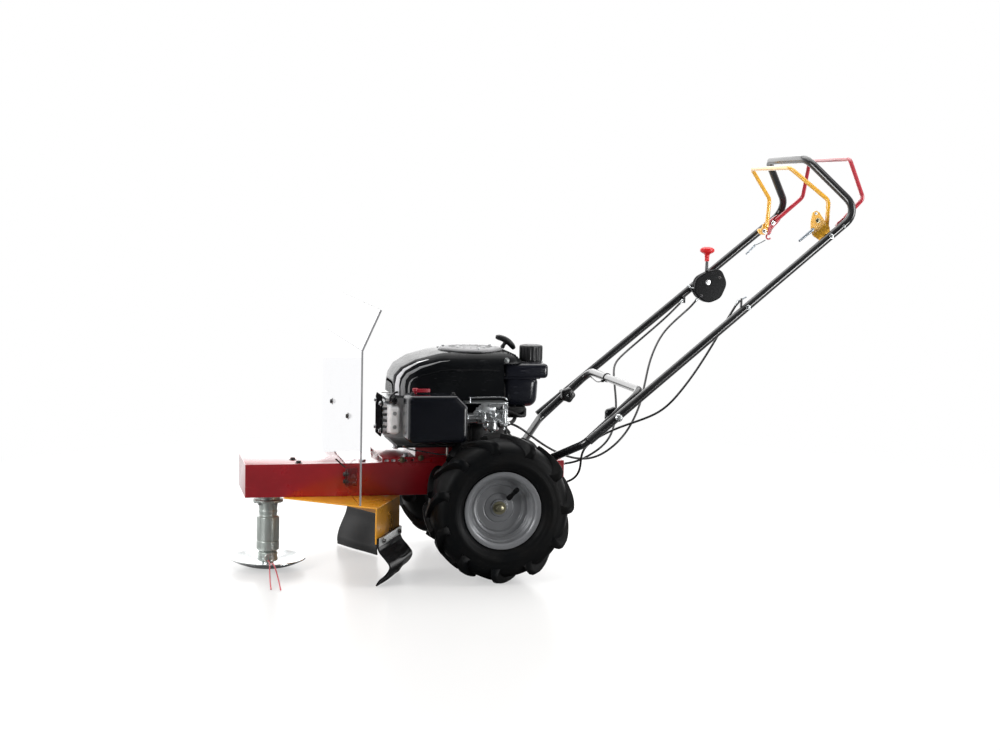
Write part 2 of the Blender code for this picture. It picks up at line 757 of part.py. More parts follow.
def cutting_line_path():
    """One doubled line over the dish's rim, looped round the foot of the near eye."""
    eye = eye_centre(-1)
    clear = EYE_WIRE + LINE_RADIUS + GAP
    bar = Vector((eye.x, eye.y, eye.z - EYE_RADIUS))
    over = DISH_RISE + DISH_SHEET + LINE_RADIUS + 0.0012
    low = LINE_RADIUS + 0.001
    first = smooth_route([
        strand(-0.0155, -0.240, low), strand(-0.0125, -0.190, 0.0095), strand(-0.008, -0.130, 0.0200),
        strand(-0.0035, -DISH_RADIUS - 0.001, over), bar + Vector((-0.002, -0.012, 0.0060)),
    ], 0.012)
    turns = (1.2, 0.6, 0.0, -0.6, -1.2)
    loop = [bar + Vector((-0.0012 * a, clear * math.cos(a), clear * math.sin(a))) for a in turns]
    second = smooth_route([
        bar + Vector((0.002, -0.012, -0.0022)), strand(0.0040, -DISH_RADIUS - 0.001, over),
        strand(0.0055, -0.130, 0.0200), strand(0.0060, -0.190, 0.0095), strand(0.0045, -0.250, low),
    ], 0.012)
    return first + loop + second


def strand(back, side, up):
    """A point of the line by its distance behind the cutting head."""
    return grounded(back - HEAD_AHEAD, side, up)


def pulley_on(name, axis, radius, belt_heights, bore):
    """A V pulley: belt radius is the outer face of the belt seated in its groove."""
    half = PULLEY_WIDTH / 2
    groove_in = radius - BELT_DEPTH - 2 * GAP
    mouth = BELT_WIDTH / 2 + GAP
    floor = mouth - BELT_TAPER
    profile = []
    for height in sorted(belt_heights, reverse=True):
        profile += [(radius, height + half), (radius, height + mouth), (groove_in, height + floor),
                    (groove_in, height - floor), (radius, height - mouth), (radius, height - half)]
    top = max(belt_heights) + half
    bottom = min(belt_heights) - half
    if bore:
        profile += [(bore, bottom), (bore, top)]
    return turned(name, profile, axis, ring=bool(bore))


def belt(name, ends, height):
    """A closed V belt round two pulleys, given as (centre, belt radius) pairs."""
    (start, start_radius), (end, end_radius) = ends
    run = end - start
    lean = math.asin((start_radius - end_radius) / run.length)
    heading = math.atan2(run.y, run.x)
    path = []
    for centre, radius, first, last in (
            (start, start_radius, heading + math.pi / 2 - lean, heading + 1.5 * math.pi + lean),
            (end, end_radius, heading - math.pi / 2 + lean, heading + math.pi / 2 - lean)):
        seat = radius - BELT_DEPTH / 2
        for i in range(13):
            angle = first + (last - first) * i / 12
            path.append((centre.x + seat * math.cos(angle), centre.y + seat * math.sin(angle)))
    outer = BELT_WIDTH / 2
    inner = outer - BELT_TAPER
    count = len(path)
    mesh = bpy.data.meshes.new(name)
    shape = bmesh.new()
    rings = []
    for i, (x, y) in enumerate(path):
        centre, radius = (start, start_radius) if i < 13 else (end, end_radius)
        spoke = Vector((x - centre.x, y - centre.y, 0)).normalized()
        ring = []
        for depth, half in ((0.5, outer), (0.5, -outer), (-0.5, -inner), (-0.5, inner)):
            point = Vector((x, y, height + half)) + spoke * depth * BELT_DEPTH
            ring.append(shape.verts.new(point))
        rings.append(ring)
    for i in range(count):
        for j in range(4):
            k = (j + 1) % 4
            after = rings[(i + 1) % count]
            shape.faces.new((rings[i][j], rings[i][k], after[k], after[j]))
    bmesh.ops.recalc_face_normals(shape, faces=shape.faces)
    shape.to_mesh(mesh)
    shape.free()
    return finish(place(name, mesh), "flap_rubber")


def belt_drive():
    crank = at(-CRANK_AHEAD, 0, 0)
    head = at(-HEAD_AHEAD, 0, 0)
    axle_input = at(AXLE_PULLEY_BACK, 0, 0)
    belt("head_belt", ((head, HEAD_PULLEY_RADIUS), (crank, CRANK_PULLEY_RADIUS)),
         HEAD_BELT_Z + RIDE)
    belt("drive_belt", ((crank, CRANK_PULLEY_RADIUS), (axle_input, AXLE_PULLEY_RADIUS)),
         DRIVE_BELT_Z + RIDE)

    pulley = pulley_on("crankshaft", crank, CRANK_PULLEY_RADIUS, [HEAD_BELT_Z, DRIVE_BELT_Z], 0)
    points = [(vertex.co.x, vertex.co.z) for vertex in pulley.data.vertices]
    bpy.data.objects.remove(pulley, do_unlink=True)
    shaft_top = FLYWHEEL_BOTTOM - GAP
    half = PULLEY_WIDTH / 2
    crankshaft = turned("crankshaft", [
        (0, shaft_top), (CRANK_RADIUS, shaft_top), (CRANK_RADIUS, HEAD_BELT_Z + half),
    ] + points + [(0, DRIVE_BELT_Z - half)], crank)
    finish(crankshaft, "steel")

    pulley_low = DRIVE_BELT_Z - half
    neck = 0.009
    input_pulley = pulley_on("axle_pulley", axle_input, AXLE_PULLEY_RADIUS, [DRIVE_BELT_Z], 0)
    points = [(vertex.co.x, vertex.co.z) for vertex in input_pulley.data.vertices]
    bpy.data.objects.remove(input_pulley, do_unlink=True)
    input_shaft_low = AXLE_Z - 0.010
    input_pulley = turned("axle_pulley", [(0, DRIVE_BELT_Z + half)] + points + [
        (neck, pulley_low), (neck, input_shaft_low), (0, input_shaft_low),
    ], axle_input)
    finish(input_pulley, "cast_iron")

    pivot = idler_pivot(0)
    wheel_at = grounded(-IDLER_AHEAD, idler_side(), 0)
    pin_low = HEAD_BELT_Z - 0.008 + RIDE
    arm_low = HEAD_BELT_Z + 0.009 + RIDE
    lid = CHASSIS_TOP + RIDE
    arm_high = arm_low + 0.004
    arm = block("idler_arm", (pivot.x - 0.009, pivot.y - 0.008, arm_low),
                (wheel_at.x + 0.009, pivot.y + 0.008, arm_high))
    arm.data.transform(Matrix.Translation(arm.location - Vector((pivot.x, pivot.y, arm_low))))
    arm.location = (pivot.x, pivot.y, arm_low)
    pin = rod("idler_arm_pin", (pivot.x, pivot.y, arm_low - 0.004),
              (pivot.x, pivot.y, lid + 0.0008), IDLER_PIN_RADIUS)
    head_bolt = rod("idler_pin_head", (pivot.x, pivot.y, lid + GAP),
                    (pivot.x, pivot.y, lid + 0.005), 0.0075, 6)
    spindle = rod("idler_spindle", (wheel_at.x, wheel_at.y, pin_low),
                  (wheel_at.x, wheel_at.y, arm_low + 0.001), IDLER_PIN_RADIUS)
    fuse(arm, pin, head_bolt, spindle)
    finish(arm, "zinc")
    idler_top = arm_low - GAP
    bore = IDLER_PIN_RADIUS + GAP
    idler = turned("idler_pulley", [
        (IDLER_RADIUS, idler_top), (IDLER_RADIUS, pin_low + 0.001), (bore, pin_low + 0.001),
        (bore, idler_top),
    ], wheel_at, ring=True)
    finish(idler, "steel")


def axle_gearbox():
    """Cast case under the beam: a barrel round the half shafts and an input neck."""
    half = GEARBOX_HALF_WIDTH
    case = rod("axle_gearbox", at(0, -half, AXLE_Z), at(0, half, AXLE_Z),
               GEARBOX_RADIUS, ROUND_STEPS)
    neck_top = DRIVE_BELT_Z - PULLEY_WIDTH / 2 - 0.002
    neck = rod("gearbox_neck", at(AXLE_PULLEY_BACK, 0, AXLE_Z - 0.030),
               at(AXLE_PULLEY_BACK, 0, neck_top), GEARBOX_NECK_RADIUS, ROUND_STEPS)
    bridge = block("gearbox_bridge", at(0, -0.6 * half, AXLE_Z - 0.026),
                   at(AXLE_PULLEY_BACK, 0.6 * half, AXLE_Z + 0.020))
    fuse(case, neck, bridge)
    ear_half = CHASSIS_WIDTH / 2 - 0.004
    ear_top = CHASSIS_BOTTOM - GAP
    for name, front in (("front_ear", -0.048), ("rear_ear", AXLE_PULLEY_BACK - 0.012)):
        ear = block(name, at(front, -ear_half, ear_top - 0.012),
                    at(front + 0.024, ear_half, ear_top))
        fuse(case, ear)
    shaft_bore = (SHAFT_RADIUS + GAP) / math.cos(math.pi / SMALL_STEPS)
    for name, side in SIDES:
        bore = rod("shaft_bore_" + name, at(0, side * (half - 0.022), AXLE_Z),
                   at(0, side * (half + 0.02), AXLE_Z), shaft_bore)
        cut(case, bore)
    input_bore = rod("input_bore", at(AXLE_PULLEY_BACK, 0, AXLE_Z - 0.012),
                     at(AXLE_PULLEY_BACK, 0, neck_top + 0.02), 0.009 + 2 * GAP, ROUND_STEPS)
    cut(case, input_bore)
    finish(case, "cast_iron")


def guard_points(side):
    """Front, corner and rear points of one wing of the guard, in plan."""
    half = CHASSIS_WIDTH / 2
    return [(GUARD_FRONT, side * half), (GUARD_CORNER, side * GUARD_CORNER_SIDE),
            (GUARD_REAR, side * half)]


def wall_frame(side):
    """Corner, run and outward normal of one rear wall, in plan."""
    corner, rear = [Vector(at(back, y, 0)) for back, y in guard_points(side)[1:]]
    run = rear - corner
    along = run.normalized()
    normal = Vector((abs(along.y), side * abs(along.x), 0))
    return corner, along, run.length, normal


def slab(name, side, low, high):
    """A block along one rear wall: distance along it, distance outwards, and height."""
    corner, along, length, normal = wall_frame(side)
    mesh = bpy.data.meshes.new(name)
    shape = bmesh.new()
    bmesh.ops.create_cube(shape, size=1.0)
    for vertex in shape.verts:
        run, out, up = [(a + b) / 2 + c * (b - a) for a, b, c in zip(low, high, vertex.co)]
        vertex.co = corner + along * run + normal * out + Vector((0, 0, up))
    bmesh.ops.recalc_face_normals(shape, faces=shape.faces)
    shape.to_mesh(mesh)
    shape.free()
    return place(name, mesh)


def guard():
    """Bent sheet: a chevron plate under the beam with a wall down each rear edge."""
    top = CHASSIS_BOTTOM - GAP
    plate_z = top - GUARD_SHEET / 2 + RIDE
    left = guard_points(-1)
    right = guard_points(1)
    outline = left + right[::-1]
    outline += [(GUARD_NOTCH, GUARD_NOTCH_HALF), (GUARD_NOTCH, -GUARD_NOTCH_HALF)]
    points = [(AXLE_X + back, side) for back, side in outline]
    sheet = plate("guard", [points], GUARD_SHEET, (0, 0, plate_z), (1, 0, 0), (0, 1, 0))
    for name, side in SIDES:
        corner, along, length, normal = wall_frame(side)
        low = (GAP, -GUARD_SHEET, GUARD_WALL_BOTTOM)
        fuse(sheet, slab("wall_" + name, side, low, (length - GAP, -GAP / 2, top - 0.0005)))
    finish(sheet, "orange_paint")


def flaps():
    """Rubber flaps clamped outside the guard's walls, bowed by the ground they touch."""
    for name, side in SIDES:
        corner, along, length, normal = wall_frame(side)
        top = GUARD_WALL_BOTTOM + FLAP_OVERLAP
        rows = smooth_route([(out, 0, up) for out, up in FLAP_BOWS[name]], 0.009)
        mesh = bpy.data.meshes.new("flap_" + name)
        shape = bmesh.new()
        grid = []
        for point in [Vector((0, 0, top))] + rows:
            row = []
            up = point.z + RIDE * min(1, (point.z - FLAP_BOTTOM) / (rows[0].z - FLAP_BOTTOM))
            for share in (0.02, 0.98):
                spot = corner + along * length * share + normal * (GAP + point.x)
                row.append(shape.verts.new((spot.x, spot.y, up)))
            grid.append(row)
        for upper, lower in zip(grid, grid[1:]):
            shape.faces.new((upper[0], lower[0], lower[1], upper[1]))
        shape.to_mesh(mesh)
        shape.free()
        flap = place("flap_" + name, mesh)
        rubber = flap.modifiers.new("thickness", "SOLIDIFY")
        rubber.thickness = FLAP_THICKNESS
        face_normal = mesh.polygons[0].normal
        rubber.offset = 1 if face_normal.dot(normal) > 0 else -1
        rubber.use_even_offset = True
        finish(flap, "flap_rubber")

        low = top - CLAMP_HEIGHT
        out = FLAP_THICKNESS + 2 * GAP
        strip = slab("flap_clamp_" + name, side, (0.03 * length, out, low),
                     (0.97 * length, out + CLAMP_SHEET, top))
        for share in (0.16, 0.84):
            centre = corner + along * length * share + Vector((0, 0, low + CLAMP_HEIGHT / 2))
            bolt = rod("clamp_bolt", centre + normal * (out + 0.001),
                       centre + normal * (out + CLAMP_SHEET + 0.004), 0.0045, 6)
            fuse(strip, bolt)
        finish(strip, "zinc")


def shield():
    """Clear sheet across the machine, bent back at the top and notched over the beam."""
    front = SHIELD_X - SHIELD_THICKNESS / 2
    profile = [(front, SHIELD_BOTTOM), (front, SHIELD_BEND_Z), (front + SHIELD_LEAN, SHIELD_TOP_Z)]
    mesh = bpy.data.meshes.new("shield")
    shape = bmesh.new()
    rows = []
    for back, up in profile:
        rows.append([shape.verts.new(at(back, side * SHIELD_HALF_WIDTH, up)) for side in (-1, 1)])
    for low, high in zip(rows, rows[1:]):
        shape.faces.new((low[0], high[0], high[1], low[1]))
    shape.to_mesh(mesh)
    shape.free()
    sheet = place("shield", mesh)
    thickness = sheet.modifiers.new("thickness", "SOLIDIFY")
    thickness.thickness = SHIELD_THICKNESS
    thickness.offset = -1
    thickness.use_even_offset = True
    notch_half = CHASSIS_WIDTH / 2 + 0.002
    notch = block("shield_notch", at(SHIELD_X - 0.03, -notch_half, SHIELD_BOTTOM - 0.02),
                  at(SHIELD_X + 0.03, notch_half, CHASSIS_TOP + 0.0015))
    cut(sheet, notch)
    finish(sheet, "clear_sheet")

    face = SHIELD_X + SHIELD_THICKNESS / 2 + GAP
    low = SHIELD_BOTTOM + 0.004
    high = low + BRACKET_HEIGHT
    beam_side = CHASSIS_WIDTH / 2 + GAP
    for name, side in SIDES:
        outline = [(0, 0), (BRACKET_LEG, 0), (BRACKET_LEG, BRACKET_SHEET),
                   (BRACKET_SHEET, BRACKET_SHEET), (BRACKET_SHEET, BRACKET_LEG), (0, BRACKET_LEG)]
        points = [(AXLE_X + face + u, side * (beam_side + v)) for u, v in outline]
        angle = plate("shield_bracket_" + name, [points], high - low,
                      (0, 0, (low + high) / 2 + RIDE), (1, 0, 0), (0, 1, 0))
        middle = (low + high) / 2
        beam_bolt = rod("beam_bolt", at(face + 0.6 * BRACKET_LEG, side * (beam_side + 0.001), middle),
                        at(face + 0.6 * BRACKET_LEG, side * (beam_side + BRACKET_SHEET + 0.006), middle),
                        0.0075, 6)
        fuse(angle, beam_bolt)
        finish(angle, "black_paint")


def engine_base():
    """Slotted engine plate with its raised pedestal, and the crankcase on it."""
    half = CHASSIS_WIDTH / 2
    low = CHASSIS_TOP + GAP
    top = low + PLATE_HEIGHT
    tray = block("engine_plate", at(PLATE_FRONT, -half, low), at(PLATE_REAR, half, top))
    under = block("plate_hollow", at(PLATE_FRONT - 0.01, SHEET - half, low - 0.01),
                  at(PLATE_REAR + 0.01, half - SHEET, top - SHEET))
    cut(tray, under)
    deck = top + PEDESTAL_HEIGHT
    wide = PEDESTAL_HALF_WIDTH
    pedestal = block("pedestal", at(PEDESTAL_FRONT, -wide, top - 0.001),
                     at(PEDESTAL_REAR, wide, deck))
    fuse(tray, pedestal)
    inner = block("pedestal_hollow", at(PEDESTAL_FRONT + SHEET, SHEET - wide, low - 0.01),
                  at(PEDESTAL_REAR - SHEET, wide - SHEET, deck - SHEET))
    cut(tray, inner)
    crank_hole = rod("deck_hole", at(-CRANK_AHEAD, 0, deck - 0.01), at(-CRANK_AHEAD, 0, deck + 0.01),
                     CRANK_RADIUS + 0.006, ROUND_STEPS)
    cut(tray, crank_hole)
    for i in range(SLOT_COUNT):
        front = PLATE_FRONT + 0.005 + i * SLOT_PITCH
        long = SLOT_LENGTH * (1 if i < SLOT_COUNT - 2 else 0.6)
        slot = block("plate_slot", at(front, -half - 0.01, low + 0.0025),
                     at(front + long, half + 0.01, low + 0.0025 + SLOT_HEIGHT))
        cut(tray, slot)
    finish(tray, "red_paint")

    case_low = deck + GAP
    case_top = case_low + CRANKCASE_HEIGHT
    crank = at(-CRANK_AHEAD, 0, 0)
    case = turned("crankcase", [
        (0, case_top), (CRANKCASE_RADIUS - 0.012, case_top), (CRANKCASE_RADIUS, case_top - 0.012),
        (CRANKCASE_RADIUS, case_low), (0, case_low),
    ], crank)
    skirt = block("crankcase_skirt", at(SKIRT_FRONT, -SKIRT_HALF_WIDTH, case_low),
                  at(SKIRT_REAR, SKIRT_HALF_WIDTH, case_low + 0.006))
    barrel = block("crankcase_nose", at(-0.140, -0.042, case_low + 0.012),
                   at(-CRANK_AHEAD, 0.042, case_top - 0.004))
    bore = rod("crank_bore", crank + Vector((0, 0, case_low - 0.01)),
               crank + Vector((0, 0, case_top + 0.01)), CRANK_RADIUS + GAP, ROUND_STEPS)
    fuse(case, skirt, barrel)
    cut(case, bore)
    finish(case, "black_paint")

    hub = CRANK_RADIUS + 0.010
    wheel_low = FLYWHEEL_BOTTOM
    wheel_top = wheel_low + FLYWHEEL_HEIGHT
    fan = turned("flywheel", [
        (0, wheel_top - 0.006), (hub, wheel_top - 0.006), (hub, wheel_low + 0.012),
        (FLYWHEEL_RADIUS - 0.008, wheel_low + 0.012), (FLYWHEEL_RADIUS - 0.008, wheel_top),
        (FLYWHEEL_RADIUS, wheel_top), (FLYWHEEL_RADIUS, wheel_low), (0, wheel_low),
    ], crank)
    finish(fan, "cast_iron")


def cylinder():
    """Finned cylinder lying forwards, its rocker cover, plug and muffler."""
    fin_back = CYLINDER_FRONT + FIN_DEPTH
    rear = -0.140 - GAP
    pitch = (CYLINDER_TOP - CYLINDER_BOTTOM) / (FIN_COUNT - 0.5)
    outline = [(rear, CYLINDER_BOTTOM)]
    for i in range(FIN_COUNT):
        low = CYLINDER_BOTTOM + i * pitch
        front = CYLINDER_FRONT + (0.006 if i in (0, FIN_COUNT - 1) else 0)
        outline += [(front, low), (front, low + pitch / 2)]
        if i < FIN_COUNT - 1:
            outline += [(fin_back, low + pitch / 2), (fin_back, low + pitch)]
    outline += [(rear, CYLINDER_TOP)]
    body = side_plate("cylinder", outline, 2 * CYLINDER_HALF_WIDTH, 0)
    finish(body, "aluminium")

    face = -CYLINDER_HALF_WIDTH - GAP
    cover = block("rocker_cover", at(-0.229, face - 0.030, 0.313), at(-0.203, face, 0.378))
    round_edges(cover, 0.009, 3)
    finish(cover, "aluminium")
    plug_foot = at(-0.216, face, 0.3875)
    plug_end = plug_foot + Vector((-0.010, -0.034, 0.004))
    plug = rod("spark_plug", plug_foot, plug_foot + Vector((0, -0.012, 0)), 0.0052)
    boot = rod("plug_boot", plug_foot + Vector((0.001, -0.010, 0)), plug_end, 0.0078, 10)
    fuse(plug, boot)
    finish(plug, "black_plastic")

    side = CYLINDER_HALF_WIDTH + GAP
    box = block("muffler", at(-0.218, side + 0.012, 0.308), at(-0.1126, side + 0.072, 0.388))
    round_edges(box, 0.008, 2)
    box = solid(box)
    neck = rod("exhaust_neck", at(-0.190, side, 0.350), at(-0.190, side + 0.020, 0.350), 0.014)
    outlet = rod("outlet", at(-0.160, side + 0.060, 0.330), at(-0.160, side + 0.080, 0.330), 0.007)
    fuse(box, neck)
    cut(box, outlet)
    finish(box, "steel")


def arch(half_width, low, high, flat):
    """Half section of the blower housing, from its skirt up to the flat of its crown."""
    shoulder = min(half_width - flat, high - low) * 0.98
    points = [(half_width, low)]
    for i in range(5):
        angle = math.pi / 2 * i / 4
        points.append((half_width - shoulder * (1 - math.cos(angle)),
                       high - shoulder * (1 - math.sin(angle))))
    return points


def blower_housing():
    """Domed housing lofted along the machine, then cut round the tank and the cylinder."""
    stations = [
        (-0.2180, 0.050, 0.425), (-0.2140, 0.062, 0.446), (-0.2000, 0.078, 0.465),
        (-0.1680, 0.091, 0.483), (-0.1200, 0.099, SHROUD_TOP - 0.003), (-0.1050, 0.100, SHROUD_TOP),
        (0.0460, 0.100, SHROUD_TOP), (0.0640, 0.093, 0.491), (0.0790, 0.080, 0.4790),
    ]
    mesh = bpy.data.meshes.new("blower_housing")
    shape = bmesh.new()
    rings = []
    for back, share, high in stations:
        half_width = SHROUD_HALF_WIDTH * share / 0.100
        half_section = arch(half_width, SHROUD_BOTTOM, high, 0.66 * half_width)
        section = half_section + [(-width, up) for width, up in reversed(half_section)]
        rings.append([shape.verts.new(at(back, width, up)) for width, up in section])
    for ring, after in zip(rings, rings[1:]):
        for i in range(len(ring) - 1):
            shape.faces.new((ring[i], after[i], after[i + 1], ring[i + 1]))
    shape.faces.new(rings[0])
    shape.faces.new(rings[-1])
    bmesh.ops.recalc_face_normals(shape, faces=shape.faces)
    shape.normal_update()
    if sum(face.normal.z for face in shape.faces) < 0:
        bmesh.ops.reverse_faces(shape, faces=shape.faces)
    shape.to_mesh(mesh)
    shape.free()
    housing = place("blower_housing", mesh)
    wall = housing.modifiers.new("wall", "SOLIDIFY")
    wall.thickness = SHROUD_WALL
    wall.offset = -1
    tank_room = block("tank_room", at(TANK_FRONT - 0.002, -0.2, SHROUD_BOTTOM - 0.02),
                      at(TANK_REAR, 0.2, TANK_TOP + GAP))
    nose_room = block("nose_room", at(-0.30, -0.2, SHROUD_BOTTOM - 0.02),
                      at(-0.112, 0.2, SHROUD_NOSE_BOTTOM))
    rope_hole = rod("rope_hole", GRIP_FOOT - PULL * 0.02, GRIP_FOOT + PULL * 0.02, ROPE_RADIUS + 0.001)
    cut(housing, tank_room, nose_room, rope_hole)
    finish(housing, "black_plastic", 0.5)

    crank = at(-CRANK_AHEAD, 0, 0)
    low = SHROUD_TOP + GAP
    cap = turned("starter_cap", [
        (0, low + STARTER_CAP_HEIGHT), (0.7 * STARTER_CAP_RADIUS, low + STARTER_CAP_HEIGHT),
        (STARTER_CAP_RADIUS - 0.004, low + STARTER_CAP_HEIGHT - 0.002),
        (STARTER_CAP_RADIUS, low + 0.003), (STARTER_CAP_RADIUS, low), (0, low),
    ], crank)
    finish(cap, "aluminium")

    middle = GRIP_FOOT + PULL * (ROPE_LENGTH + GRIP_RADIUS)
    across = Vector((PULL.z, 0, -PULL.x))
    path = []
    for i in range(-3, 4):
        share = i / 3
        path.append(middle + across * share * (GRIP_LENGTH / 2 - GRIP_RADIUS)
                    - PULL * 0.006 * share * share)
    grip = tube("starter_grip", path, GRIP_RADIUS)
    grip.data.transform(Matrix.Translation(-middle))
    grip.location = middle
    fuse(grip, rod("starter_rope", GRIP_FOOT, middle, ROPE_RADIUS, 8))
    finish(grip, "black_plastic")


def tank():
    body = block("fuel_tank", at(TANK_FRONT, -TANK_HALF_WIDTH, TANK_BOTTOM),
                 at(TANK_REAR - 0.020, TANK_HALF_WIDTH, TANK_TOP - 0.0005))
    round_edges(body, TANK_ROUND, 3)
    body = solid(body)
    rim = block("tank_rim", at(TANK_FRONT + 0.002, -TANK_HALF_WIDTH - 0.003, TANK_TOP - 0.034),
                at(TANK_REAR, TANK_HALF_WIDTH + 0.003, TANK_TOP))
    round_edges(rim, 0.009, 2)
    rim = solid(rim)
    fuse(body, rim)
    finish(body, "black_plastic")
    low = TANK_TOP + GAP
    flute = 0.0012
    outline = []
    for i in range(2 * CAP_FLUTES):
        angle = math.pi * i / CAP_FLUTES
        radius = CAP_RADIUS - (flute if i % 2 else 0)
        outline.append((radius * math.cos(angle), radius * math.sin(angle)))
    cap = plate("fuel_cap", [outline], CAP_HEIGHT, at(CAP_BACK, CAP_SIDE, low + CAP_HEIGHT / 2),
                (1, 0, 0), (0, 1, 0))
    round_edges(cap, 0.003, 1, 1.2)
    finish(cap, "black_plastic")


def intake():
    """Air filter base and cover, carburettor, its control plate and the choke lever."""
    wide = AIRBOX_CHAMFER
    small = 0.008

    def airbox_outline(inset):
        front = AIRBOX_FRONT + inset
        rear = AIRBOX_REAR - inset
        low = AIRBOX_BOTTOM + inset
        high = AIRBOX_TOP - inset
        return [(front, low + small), (front + small, low), (rear - small, low),
                (rear, low + small), (rear, high - wide), (rear - wide, high),
                (front + small, high), (front, high - small)]

    depth = AIRBOX_SPLIT - AIRBOX_FACE
    cover = side_plate("air_filter_cover", airbox_outline(0), depth, AIRBOX_FACE + depth / 2)
    round_edges(cover, 0.005, 2)
    finish(cover, "black_plastic")
    inner = -SHROUD_HALF_WIDTH - 2 * GAP
    base_depth = inner - AIRBOX_SPLIT - GAP
    base = side_plate("air_filter_base", airbox_outline(0.004), base_depth,
                      AIRBOX_SPLIT + GAP + base_depth / 2)
    finish(base, "black_plastic")

    throat_z = 0.356
    throat_y = -0.122
    start = AIRBOX_REAR + GAP
    carb = rod("carburettor", at(start, throat_y, throat_z), at(0.026, throat_y, throat_z),
               0.0165, ROUND_STEPS)
    neck = rod("intake_neck", at(AIRBOX_REAR - 0.004 + GAP, -0.111, throat_z),
               at(AIRBOX_REAR + 0.010, -0.111, throat_z), 0.0085)
    bowl = rod("float_bowl", at(-0.002, throat_y, 0.324), at(-0.002, throat_y, throat_z), 0.0175, 16)
    flange = block("carb_flange", at(0.020, throat_y - 0.022, throat_z - 0.020),
                   at(0.028, inner, throat_z + 0.020))
    elbow = block("intake_elbow", at(0.004, throat_y, throat_z - 0.012),
                  at(0.024, inner, throat_z + 0.012))
    fuse(carb, neck, bowl, flange, elbow)
    finish(carb, "aluminium")
    plate_z = throat_z + 0.034
    control = block("control_plate", at(-0.064, inner - 0.040, plate_z), at(0.030, inner, plate_z + 0.003))
    hanger = block("control_hanger", at(-0.030, inner - 0.040, plate_z - 0.020),
                   at(0.004, inner - 0.037, plate_z + 0.001))
    fuse(control, hanger)
    finish(control, "zinc")

    choke_z = AIRBOX_TOP + GAP
    pivot = at(-0.182, -0.144, choke_z)
    lever = block("choke_lever", pivot + Vector((-0.006, -0.006, 0.006)),
                  pivot + Vector((0.034, 0.006, 0.013)))
    lever.data.transform(Matrix.Translation(lever.location - pivot))
    lever.location = pivot
    for vertex in lever.data.vertices:
        if vertex.co.x > 0.01:
            vertex.co.y *= 0.6
            vertex.co.z -= 0.003
    fuse(lever, rod("choke_post", pivot, pivot + Vector((0, 0, 0.008)), 0.004))
    finish(lever, "red_plastic")


def lower_handle():
    """One black U tube bolted to the beam's flanks and rising between the wheels."""
    foot = CHASSIS_WIDTH / 2 + GAP + TUBE_RADIUS
    half = [(0.020, foot, 0.200), (TYRE_RADIUS - 0.053, foot, 0.243), (0.195, LOWER_SIDE, arm_height(0.195)),
            (0.324, LOWER_SIDE, arm_height(0.324))]
    path = [at(back, -side, up) for back, side, up in half]
    path += [at(back, side, up) for back, side, up in reversed(half)]
    bar = pipe("lower_handle", bend(path, CORNER_BEND_RADIUS, 3), TUBE_RADIUS, TUBE_WALL)
    for name, side in SIDES:
        hole = rod("arm_hole_" + name, at(PIVOT_BACK, side * (LOWER_SIDE - 0.03), PIVOT_Z),
                   at(PIVOT_BACK, side * (LOWER_SIDE + 0.03), PIVOT_Z), CLAMP_BOLT_RADIUS + GAP, 10)
        cut(bar, hole)
    finish(bar, "black_paint")


def arm_height(back):
    """Height of the lower handle's straight rear run at a distance behind the axle."""
    return PIVOT_Z + (back - PIVOT_BACK) * 0.92


def leg_point(back, side):
    """A point on the centre line of one leg of the upper handle."""
    low, high = [Vector(point) for point in UPPER_LEG]
    point = low.lerp(high, (back - low.x) / (high.x - low.x))
    return at(point.x, side * point.y, point.z)


def upper_handle():
    """One long black tube: two straight legs, bent in at the top to a short cross grip."""
    half = [UPPER_LEG[0], UPPER_LEG[1], UPPER_CORNER]
    path = [at(back, -side, up) for back, side, up in half]
    path += [at(back, side, up) for back, side, up in reversed(half)]
    bar = pipe("upper_handle", bend(path, UPPER_BEND_RADIUS, 4), TUBE_RADIUS, TUBE_WALL)
    for name, side in SIDES:
        hole = rod("leg_hole_" + name, at(PIVOT_BACK, side * (UPPER_SIDE - 0.03), PIVOT_Z),
                   at(PIVOT_BACK, side * (UPPER_SIDE + 0.03), PIVOT_Z), CLAMP_BOLT_RADIUS + GAP, 10)
        cut(bar, hole)
        for back, reach in ((YELLOW_BACK, YELLOW_SIDE), (RED_BACK, RED_SIDE)):
            foot = leg_point(back, side)
            pin = rod("bail_pin", foot, (foot.x, side * (reach - LEVER_SHEET), foot.z),
                      BAIL_PIN_RADIUS, 10)
            fuse(bar, pin)
    left = leg_point(CABLE_TAB_LEFT, -1)
    tab = block("cable_tab_left", left + Vector((-0.0015, -0.005, 0.004)),
                left + Vector((0.0015, 0.005, 0.032)))
    right = leg_point(CABLE_TAB_RIGHT, 1)
    lug = block("cable_tab_right", right + Vector((-0.0015, -0.025, -0.018)),
                right + Vector((0.0015, -0.004, -0.003)))
    fuse(bar, tab, lug)
    finish(bar, "black_paint")


